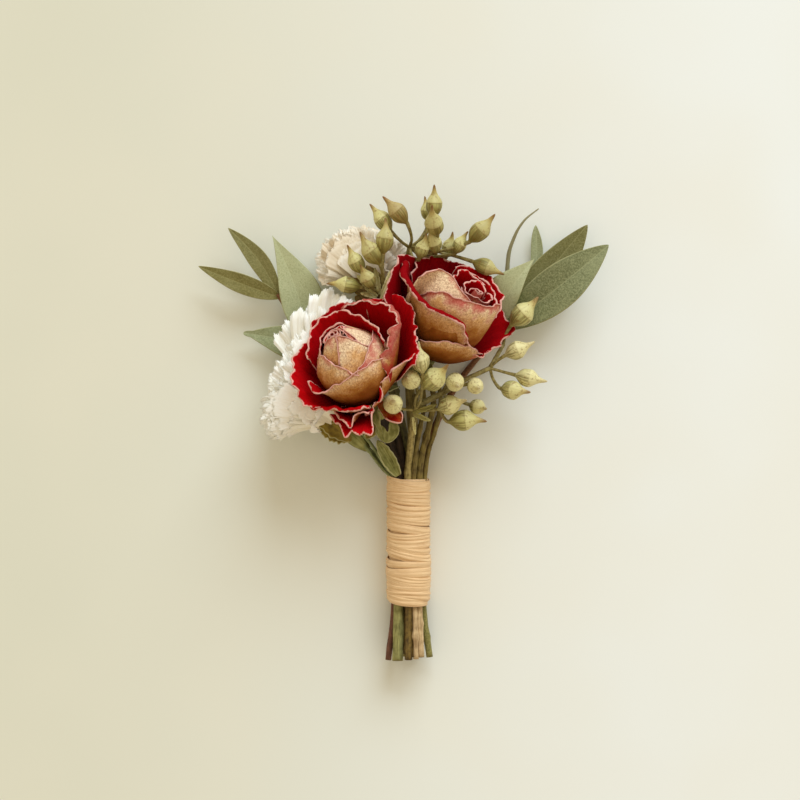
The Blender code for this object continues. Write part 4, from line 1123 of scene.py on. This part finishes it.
# %% Make the carnations' stems
CARNATION_STEMS = {
    "carnation_left": {
        "bark": maroon_bark, "radii": [1.05, 1.2, 1.0],
        "way": in_bundle(3, 1.45, -0.2, 5.0) + [(-5.6, -16, 8.4)],
        "side_stalks": [
            [(-3.4, -19, 9.6), (-6.4, -16.6, 10.4), (-12.6, -8.6, 11.4), (-16.6, -3.4, 12)],
            [(-2.4, -19, 10.6), (-5.2, -16, 11.6), (-11, -7.4, 12.4), (-15, -2.4, 13)],
        ],
        "leaflets": [
            ((-17.5, -5, 13.6), (-29.5, 4.6, 18.4), 9, 0.5, 1.2, 0.05, 2),
            ((-17.5, -5, 13), (-28.6, -1.4, 16.6), 7, 0.5, 1.0, 0.08, 2),
            ((-1.6, -18.2, 12.2), (-8.8, -6, 13.4), 4.8, 0.8, 1.2, 0.035, 1),
            ((-5, 1.6, 15.4), (-5.8, -6.8, 15.6), 8.2, 0.6, 0.5, 0.01, 1),
            ((-9, 1, 14), (-12.6, -5.4, 13), 4.6, 0.4, 1.4, 0.06, 2),
        ],
    },
    "carnation_top": {
        "bark": middle_bark, "radii": [2.1, 2.1, 1.3],
        "way": in_bundle(0, 1, 2) + [(-0.5, -2, 6.4), (-4, 16, 5.4)],
        "side_stalks": [], "leaflets": [],
    },
}
for name, stem in CARNATION_STEMS.items():
    rng = random.Random(name)
    stalk = Pile(*STEM_NUMBERS)
    calyx_frame = frame_on(CARNATIONS[name]["throat"], CARNATIONS[name]["axis"])
    origin, (*_, axis) = calyx_frame
    way = [*stem["way"], origin - 13 * axis, origin - 8 * axis]
    joints = [(0.05, 0.2, 0.008), (0.8, 0.3, 0.008)]
    add_cane(stalk, rng, way, stem["radii"], 14, 16, joints, groove=0.08, from_rim=NO_RIM)
    for way in stem["side_stalks"]:
        add_cane(stalk, rng, way, [0.6, 0.55, 0.7], groove=0.1, start=64.0, from_rim=NO_RIM)
    add_turned(
        stalk, CALYX, calyx_frame, samples=22, sides=60, shape=ribs, along=ON_PLANT, leafy=1, from_rim=NO_RIM,
    )
    for shape in stem["leaflets"]:
        leaflet(stalk, rng, *shape)
    stalk.finished(name + "_cane", stem["bark"], name + "_stem", "carnation_stem")

# %% [markdown]
# ## The eucalyptus buds
#
# Each bud is a little urn: a striped cup below, a raised seam round its middle, and above it a cap that
# draws out into a pointed beak. It is turned, with faint ribs on the cup. A short stalk ties it to the
# point where its cluster meets. The buds are listed by cluster, each by the middle of its body, the way
# that its beak points (degrees round from the right, then up from level) and its size. One bud has a
# seventh number, its tint, because it is the only brown one. Bracts are thin dry leaflets between the buds,
# and a few wide brown ones lie under the top spray.

# %% Buds
POD = [
    (0.01, 11.8), (0.34, 11.5), (0.6, 10.8), (0.82, 10.0), (1.08, 9.2), (1.45, 8.5), (1.95, 7.85),
    (2.5, 7.25), (3.0, 6.65), (3.38, 6.05), (3.56, 5.7), (3.64, 5.35), (3.62, 5.05), (3.66, 4.5), (3.58, 3.7),
    (3.3, 2.8), (2.75, 1.95), (2.0, 1.2), (1.3, 0.6), (0.85, 0.1), (0.6, -0.5),
]
POD_MIDDLE = 4.7


def pointing(heading, lift):
    heading, lift = math.radians(heading), math.radians(lift)
    return np.array([math.cos(lift) * math.cos(heading), math.cos(lift) * math.sin(heading), math.sin(lift)])


def bud(pile, rng, middle, heading, lift, size, joint, slim, tints):
    """One bud on its stalk, with faint ribs on the cup below the seam and a slightly uneven cap above it."""
    beak = pointing(heading, lift)
    foot = np.array(middle) - beak * POD_MIDDLE * size
    tint = rng.uniform(*tints)
    profile = [(radius * slim * rng.uniform(0.99, 1.01), height) for radius, height in POD]
    spin = rng.uniform(0, 6.3)

    def uneven(height, angle):
        cup = np.clip((5.2 - height) / 2, 0, 1)
        return 1 + 0.012 * np.cos(18 * (angle + spin)) * cup + 0.025 * np.cos(3 * (angle + spin) + height)

    aside = (rng.uniform(-1, 1), rng.uniform(-1, 1))
    add_turned(
        pile, profile, frame_on(foot, beak, (0.1, 0.2, 1)), samples=34, sides=36, shape=uneven, size=size,
        bend=aside, tint=tint, bud_part=1.0,
    )
    half_way = (joint + foot) / 2 - beak * np.linalg.norm(foot - joint) * 0.16
    route = smooth_route([joint, half_way, foot - beak * 0.2, foot + beak * 0.8], 6)
    add_tube(pile, route, lambda share, angle: 0.5 + 0.28 * share**3 + 0.12 * (1 - share) ** 6, 10, tint=tint)


# %% Buds of the sprays
SPRAYS = {
    "spray_top": {
        "start": in_bundle(5, 1.15, 0.6), "radii": [1.7, 1.5, 1.1, 0.8], "slim": 0.79, "tints": (0.0, 0.45),
        "way": [(4, 0, 4.6), (1.5, 20, 4.6), (-1.5, 36, 5), (0, 49, 9), (2.2, 60.4, 15.5)],
        "twigs": [[(-1.5, 36, 5), (-3, 42, 13), (-6.9, 45.2, 20)]],
        "clusters": [
            ((2.2, 60.4, 15.5), [
                (-1.9, 71.9, 24, 131, 6, 1.05, -0.35), (-7.0, 69.4, 21, 127, 0, 1.0),
                (10.6, 74.8, 20, 88, 6, 0.97), (10.5, 67.6, 28, 108, 44, 1.1), (26.3, 65.6, 22, 45, 12, 1.1),
                (15.8, 60.5, 14, 72, 24, 0.85), (10.3, 61.6, 22, 106, 44, 1.0), (6.5, 59.4, 24, 71, 17, 0.82),
                (19.4, 61.2, 19, 60, 20, 0.8), (8.2, 73, 13, 98, 10, 0.75), (28.3, 53.6, 17, -23, 6, 1.0),
            ]),
            ((-6.9, 45.2, 20), [
                (-6.2, 62.4, 26, 83, 6, 1.05), (-10.9, 58.2, 26, 126, 12, 1.1),
                (-16.0, 54.9, 24, 118, 17, 0.95), (-19.1, 47.2, 22, 170, 0, 1.0),
                (-12.0, 49.1, 25, 119, 30, 0.9),
            ]),
        ],
        "bracts": [
            ((-9, 43, 21), (-15.6, 50.6, 22), 2.0, 0.8, 0.5, 0.1),
            ((-9, 43, 21.4), (-14.4, 44.4, 23), 1.6, 0.6, 0.5, 0.1),
            ((-8, 44, 21), (-9.6, 53, 22.4), 1.8, 0.6, 0.5, 0.1),
            ((-7.6, 42, 21.6), (-4.4, 52, 23), 1.4, 0.6, 0.4, 0.1),
        ],
        "brown_bracts": [
            ((-5, 39, 16.8), (-18, 49.5, 17.6), 6.5, 0.6, 1.0, 0.05),
            ((-5, 40, 16.6), (-12.5, 54, 17.6), 6, 0.6, 1.0, 0.05),
            ((-5, 38, 17), (-16.5, 43.4, 17.6), 5.5, 0.6, 1.0, 0.05),
        ],
    },
    "spray_front": {
        "start": in_bundle(1, 1.05, 0.4), "radii": [1.4, 1.5, 1.3, 0.8], "slim": 0.9, "tints": (0.35, 1.0),
        "way": [(2.6, -8, 14.5), (4.3, 4.5, 18), (13, 10, 19), (22.7, 15.5, 17), (29.9, 18.9, 15)],
        "twigs": [[(29.9, 18.9, 15), (34.6, 27, 12.5)]],
        "clusters": [
            ((4.3, 4.5, 18), [
                (5.8, 21.2, 34, 100, 17, 0.95), (2.8, 14.7, 31, 167, 72, 1.0), (10.5, 15.0, 31, 38, 30, 1.15),
                (-3.4, 6.5, 33, 100, 80, 1.0), (16.0, 6.2, 23, 20, 30, 1.0),
            ]),
            ((13, 10, 19), [
                (17.6, 14.0, 27, -72, 72, 0.95), (24.6, 12.7, 24, -45, 72, 0.85), (20.9, 1.0, 19, 6, 6, 1.1),
                (25.6, 5.6, 16, -14, 53, 0.8),
            ]),
            ((29.9, 18.9, 15), [
                (39.1, 25.0, 18, 24, 12, 0.95), (43.0, 15.5, 16, -13, 6, 0.95), (37.6, 11.3, 17, -8, 37, 1.0),
            ]),
            ((34.6, 27, 12.5), [(41.2, 37.5, 14.4, 44, 10, 1.15)]),
        ],
        "bracts": [
            ((3.4, 3.4, 18.6), (11.6, 6.4, 20.4), 1.6, 0.6, 0.5, 0.1),
            ((3.6, 3, 18), (9.4, 0.8, 18), 1.5, 0.8, 0.7, 0.12),
            ((3.4, 2, 18.4), (4.2, -4, 16.4), 1.0, 0.5, 0.5, 0.14),
        ],
        "brown_bracts": [],
    },
}
for name, spray in SPRAYS.items():
    print(name, sum(len(buds) for joint, buds in spray["clusters"]), "buds")

# %% [markdown]
# The buds' finish follows the height on the bud: an olive cup with darker stripes, a dark line at the seam,
# a yellower cap and a brown beak. Each bud carries a random number that shifts its colour, as no two dry
# alike.

# %% Bud finish
hull = Finish("eucalyptus_bud", roughness=0.5, specular=0.35)
bud_up = hull.maths("DIVIDE", hull.number("up"), 12.0)
tint = hull.number("tint")
along = hull.number("along")
round_bud = hull.joined(*hull.circled(3.5), hull.plus(bud_up, hull.times(tint, 20.0)))
stripes = hull.noise(round_bud, 1.6, detail=3)
freckles = hull.noise(hull.grid(), 0.9, detail=4)
body = hull.ramp(
    bud_up, (0.0, 158, 152, 80), (0.3, 180, 175, 104), (0.41, 192, 187, 118), (0.425, 170, 160, 98),
    (0.45, 216, 210, 146), (0.66, 213, 206, 140), (0.78, 200, 182, 112), (0.93, 132, 92, 48),
)
body = hull.washed(body, (236, 226, 172), tint, 0.3, 1.0, 0.0, 0.7)
body = hull.washed(body, (128, 96, 32), tint, 0.0, 0.4, 0.3, 0.0)
body = hull.washed(body, (150, 92, 52), tint, -0.8, 0.0, 0.75, 0.0)
striped = hull.times(hull.band(stripes, 0.38, 0.58, 0.7, 0), hull.band(bud_up, 0.4, 0.46, 1, 0.2))
body = hull.mix(striped, body, srgb(104, 92, 36))
body = hull.washed(body, (132, 92, 40), freckles, 0.52, 0.7, 0, 0.6)
grain = hull.mix(0.5, freckles, stripes)
beige = hull.ramp(grain, (0.38, 92, 76, 34), (0.6, 172, 154, 94))
cut_brown = hull.ramp(grain, (0.38, 58, 40, 12), (0.6, 122, 98, 42))
woody = hull.mix(hull.band(along, 20, 40), cut_brown, beige)
main_stem = hull.times(hull.number("woody"), hull.band(along, 78, 90, 1, 0))
stalk_green = hull.ramp(freckles, (0.35, 112, 98, 48), (0.65, 164, 150, 92))
stalk_colour = hull.mix(main_stem, stalk_green, woody)
hull.colour(hull.mix(hull.number("bud_part"), stalk_colour, body))
hull.relief(hull.mix(0.5, stripes, freckles), 0.18, 0.8)

# %% Make the sprays
for name, spray in SPRAYS.items():
    rng = random.Random(name)
    sprig = Pile("up", "round_x", "round_y", "along", "tint", "bud_part", "woody")
    way = [*spray["start"], *spray["way"]]
    joints = [(0.026, 0.25, 0.006), (0.55, 0.2, 0.008)]
    add_cane(sprig, rng, way, spray["radii"], 12, 16, joints, groove=0.12, knobs=0.04, tint=0.3, woody=1)
    for way in spray["twigs"]:
        add_cane(sprig, rng, way, [0.8, 0.7], knobs=0.05, tint=0.3)
    for joint, buds in spray["clusters"]:
        for x, y, z, heading, lift, size, *tint in buds:
            tints = tint * 2 or spray["tints"]
            bud(sprig, rng, (x, y, z), heading, lift, size, np.array(joint, float), spray["slim"], tints)
    for shape in spray["bracts"]:
        leaflet(sprig, rng, *shape, tint=rng.uniform(0.1, 1), bud_part=1, up=rng.uniform(2, 7))
    for shape in spray["brown_bracts"]:
        leaflet(sprig, rng, *shape, tint=-0.45, bud_part=1, up=1.5)
    sprig.finished(name + "_dressed", hull, name, "eucalyptus_bud")

# %% [markdown]
# ## The leaves
#
# The leaves are lances of leathery grey green, folded a little along a pale midrib, with a thin pale
# border. Each is given by its foot, its tip, its width, how it rises, bows and folds, its tint, and what
# else sets its outline apart. A sheet in 28 by 72 steps is fine enough for a smooth outline and a slight
# wave along the border.

# %% Leaves
SPRIGS = {
    "leaf_sprig_left": {
        "start": in_bundle(4, 1.2, 0.9), "radii": [1.6, 1.4, 1.2, 0.9],
        "way": [(-4, -8, 2.7), (-14, 6, 1.4), (-26, 20, 1.3), (-34, 30, 2.2), (-43.6, 44.8, 6)],
        "leaves": [
            ((-42.5, 43.5, 5.5), (-71, 54.3, 9), 6.9, 2, 0.4, 0.8, 0.0, 0.8),
            ((-43, 44, 5.6), (-60.6, 67.5, 10), 6.9, 1.5, -1.7, 0.8, 0.08),
            ((-33.4, 31.5, 2.6), (-45.4, 65, 10), 15, 1, -1.4, 1, 1.0, 0.6, 1.2, 0, 0, -0.15),
            ((-33, 28.5, 2.2), (-26.5, 46.1, 3.4), 7.5, 0.5, -1, 0.5, 0.1),
            ((-28, 23, 1.8), (-55.5, 31.2, 7), 11.5, 0, -1.5, 1.2, 0.62, 0.75, 1.1, 0, 0.22),
        ],
        "stalks": [],
    },
    "leaf_sprig_right": {
        "start": in_bundle(6, 1.5, 0.8, 5.0), "radii": [1.15, 1.4, 1.2, 0.9],
        "way": [(9.5, -6, 3.6), (18, 12, 1.4), (28, 25, 1.2), (35.5, 35, 4.5)],
        "leaves": [
            ((34.5, 32.5, 4.3), (70.9, 61.4, 14), 15.6, 4, -0.6, 1.8, 0.45, 0.95, 0.8),
            ((33.5, 32.5, 3.8), (64.1, 68.8, 7), 14.5, -0.5, 0, 1, 0.12, 0.9, 0.8, 0, 0, -0.2),
            ((31, 33.5, 5.5), (45.2, 56.4, 15), 13, 3, 1.5, 1.4, 1.0, 0.62, 1.1, 0, 0, 0.3),
            ((34, 33, 3.2), (46.3, 69, 3), 4.6, -1, -5.2, 0.5, 0.7, 2.6, 0.8),
        ],
        "stalks": [
            [
                (35.8, 38, 3), (36.2, 51, 5), (36.6, 57.7, 6), (39, 65.3, 7.5), (42.1, 70.2, 8.5),
                (47, 74.2, 9),
            ],
        ],
    },
}


def leaf(
    pile, rng, foot, tip, width, rise, bow, fold, tint, early=0.85, fine=0.85, age=0.0, blunt=0.0, uneven=0.0,
):
    """One leaf by its foot, tip and width, and by how far it rises, bows and folds.

    early moves its widest place towards the foot below 1 and towards the tip above, fine sharpens both ends,
    blunt keeps them wide, and uneven makes one half wider. tint and age are numbers for its finish.
    """
    u = np.linspace(-1, 1, 29)[None, :]
    v = np.linspace(0, 1, 73)[:, None]
    arch = np.sin(math.pi * v)
    lance = np.maximum(np.sin(math.pi * v**early), 0) ** fine
    lance = np.maximum(lance, blunt * np.sqrt(1 - v**20))
    half = width / 2 * (0.05 * (1 - v) + 0.95 * lance) * (1 + uneven * np.sign(u))
    ripple = 0.25 * np.sin(v * rng.uniform(14, 20) + rng.uniform(0, 6)) * np.abs(u) ** 3 * arch
    lift = rise * arch + fold * np.abs(u) * half / width * 2 + ripple
    grid = blade_grid(foot, tip, u, v, half, lift, bow * arch)
    add_sheet(pile, grid, 0.4, across=u, side=half * u, tint=tint, age=age, leaf_part=1)


# %% Leaf finish
blade = Finish("eucalyptus_leaf", roughness=0.55, specular=0.3, sheen=0.1)
leaf_tint = blade.number("tint")
veining = blade.noise(blade.grid(), 1.7, detail=5, roughness=0.8)
wax = blade.noise(blade.grid(), 0.12, detail=3)
green = blade.ramp(leaf_tint, (0.0, 122, 115, 60), (0.45, 124, 130, 90), (1.0, 188, 194, 152))
paler = blade.ramp(leaf_tint, (0.0, 152, 146, 92), (0.45, 168, 172, 130), (1.0, 204, 210, 170))
darker = blade.ramp(leaf_tint, (0.0, 92, 84, 36), (0.45, 70, 72, 38), (1.0, 148, 156, 104))
green = blade.mix(blade.band(veining, 0.47, 0.62, 0, 0.6), green, paler)
green = blade.mix(blade.band(veining, 0.36, 0.5, 0.55, 0), green, darker)
green = blade.mix(blade.band(wax, 0.4, 0.7, 0, 0.3), green, paler)
green = blade.mix(blade.number("age"), green, srgb(128, 104, 88))
midrib = blade.band(blade.maths("ABSOLUTE", blade.number("side")), 0.1, 0.3, 0.55, 0)
green = blade.mix(midrib, green, paler)
border = blade.maths("ABSOLUTE", blade.number("across"))
green = blade.washed(green, (178, 172, 118), border, 0.95, 0.99, 0, 0.6)
cut_colour = blade.ramp(veining, (0.35, 96, 92, 38), (0.65, 158, 150, 86))
twig_colour = blade.ramp(veining, (0.35, 92, 52, 30), (0.65, 140, 96, 60))
twig_colour = blade.mix(blade.band(blade.number("along"), 22, 36), cut_colour, twig_colour)
blade.colour(blade.mix(blade.number("leaf_part"), twig_colour, green))
blade.relief(veining, 0.2, 0.9)

# %% Make the sprigs
for name, sprig in SPRIGS.items():
    rng = random.Random(name)
    twig = Pile("across", "along", "side", "tint", "leaf_part", "age")
    way = [*sprig["start"], *sprig["way"]]
    add_cane(twig, rng, way, sprig["radii"], 12, 16, [(0.06, 0.3, 0.01), (0.9, 0.3, 0.008)], knobs=0.04)
    for shape in sprig["leaves"]:
        leaf(twig, rng, *shape)
    for way in sprig["stalks"]:
        add_cane(twig, rng, way, [0.6, 0.85, 0.75, 0.5, 0.2], 8, 10, leaf_part=1, age=0.9, tint=0.3)
    twig.finished(name + "_dressed", blade, name, "eucalyptus_leaf")

# %% [markdown]
# ## The raffia wrap
#
# The wrap is one long strip of raffia wound some twenty times round the stems, each turn lying a little
# over the last. Raffia is a flat fibre: it creases along its length, leans, and leaves a dark gap here and
# there. A smooth sleeve with a bump map would show round the sides, so the strip itself is modelled. We
# sweep a flat, creased cross-section along a helix whose pitch and lean vary, and let each turn overlap the
# last.

# %% Raffia strip
TURNS = 19
LOOSE_TURNS = [3, 6, 7, 11, 14]
STEPS_A_TURN = 84
TURN_LENGTH = 44
STRIP_WIDTH = 3.2
STRIP_POINTS = 17
STRIP_THICKNESS = 0.28
START = 1.3
INNER_RADIUS = 6.5
SLEEVE_RADIUS = 6.7
SAG = 0.13
BULGE_AT = -50.5
END_ROOM = 0.9


def raffia_strip(pile):
    """Adds the strip as one long sheet and returns its length.

    Its level climbs from turn to turn, and its creases drift along it.
    """
    rng = random.Random("raffia")
    pitches = np.array([rng.uniform(0.7, 1.3) for _ in range(TURNS)])
    pitches[LOOSE_TURNS] *= 1.35
    levels = np.concatenate([[0], np.cumsum(pitches)])
    levels = levels / levels[-1]
    turn = np.arange(TURNS * STEPS_A_TURN + 1) / STEPS_A_TURN
    length = WRAP_TOP - WRAP_BOTTOM - STRIP_WIDTH * 0.8 - START
    level = WRAP_BOTTOM + STRIP_WIDTH * 0.4 + START + length * np.interp(turn, np.arange(TURNS + 1), levels)
    angle = 2 * math.pi * turn
    creases = [(rng.uniform(3, 10), rng.uniform(0, 6.3), rng.uniform(-1, 1)) for _ in range(8)]
    lean = 0.04 + 0.09 * np.sin(turn * 1.7 + 1)
    wander = 0.3 * np.sin(turn * 5.1 + 2) + 0.2 * np.sin(turn * 11.3)
    wide = STRIP_WIDTH * (1 + 0.16 * np.sin(turn * 2.9) + 0.1 * np.sin(turn * 7.7))
    t = np.linspace(-1, 1, STRIP_POINTS)[None, :]
    crease = 0
    for folds, start, drift in creases:
        crease = crease + 0.05 * np.sin(folds * t + start + 1.5 * np.sin(turn[:, None] * drift * 3))
    bulge = 0.35 * np.exp(-(((level - BULGE_AT) / 4.2) ** 2))
    ends = np.clip(np.minimum(turn, TURNS - turn) / 0.3, 0, 1)
    dome = 0.55 * (1 - np.abs(t) ** 2.6)
    radius = INNER_RADIUS + (0.42 + 0.1 * t + crease + dome + bulge[:, None]) * ends[:, None]
    across = np.cos(angle)[:, None] * radius
    up = np.sin(angle)[:, None] * radius
    along = level[:, None] + wander[:, None] + t * wide[:, None] / 2 - lean[:, None] * across - SAG * up
    along = np.clip(along, WRAP_BOTTOM - END_ROOM, WRAP_TOP + END_ROOM)
    height = np.maximum(BUNDLE[1] + up, 0.16 + 0.25 * (0.5 - dome))
    grid = np.stack([BUNDLE[0] + across, along, height], axis=2)
    add_sheet(pile, grid, STRIP_THICKNESS, up=t, along=(turn * TURN_LENGTH)[:, None])
    return np.linalg.norm(np.diff(grid[:, STRIP_POINTS // 2], axis=0), axis=1).sum()


strip = Pile("inner_face", "up", "along")
raffia_length = raffia_strip(strip)
print(f"{TURNS} turns, {raffia_length * MM:.2f} m of raffia")

# %% [markdown]
# Under the strip lies a plain inner sleeve, so that no gap opens on the stems. The finish has fibres along
# the strip: noise stretched many times along its length, in straw, peach and a little brown at the edges.

# %% Raffia finish
straw = Finish("raffia", roughness=0.55, specular=0.35, sheen=0.1)
across_strip = straw.number("up")
along_strip = straw.joined(straw.times(straw.number("along"), 0.07), straw.times(across_strip, 5.0))
fibre = straw.noise(along_strip, 2.0, detail=5)
shade = straw.noise(straw.grid(), 0.22, detail=3)
tone = straw.ramp(fibre, (0.3, 200, 156, 108), (0.5, 232, 194, 146), (0.7, 248, 218, 174))
tone = straw.washed(tone, (242, 206, 158), shade, 0.35, 0.65, 0, 0.35)
straw.colour(straw.washed(tone, (168, 120, 82), straw.maths("ABSOLUTE", across_strip), 0.86, 1.0, 0, 0.5))
straw.relief(fibre, 0.22, 0.9)
sleeve_route = [(BUNDLE[0], y, BUNDLE[1]) for y in np.linspace(WRAP_BOTTOM + 2, WRAP_TOP - 1, 40)]
add_tube(strip, sleeve_route, lambda share, angle: SLEEVE_RADIUS, 48)
strip.finished("raffia_wrap", straw, "wrap", "raffia")

# %% [markdown]
# ## Finish
#
# The last step keeps the boxes of the frame and of the dressed bouquet, to compare them.

# %% Sizes
dressed_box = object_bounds()
for axis, name in enumerate("xyz"):
    before = frame_box[1][axis] - frame_box[0][axis]
    after = dressed_box[1][axis] - dressed_box[0][axis]
    print(f"{name}: frame {before * 1000:.1f} mm, dressed {after * 1000:.1f} mm")
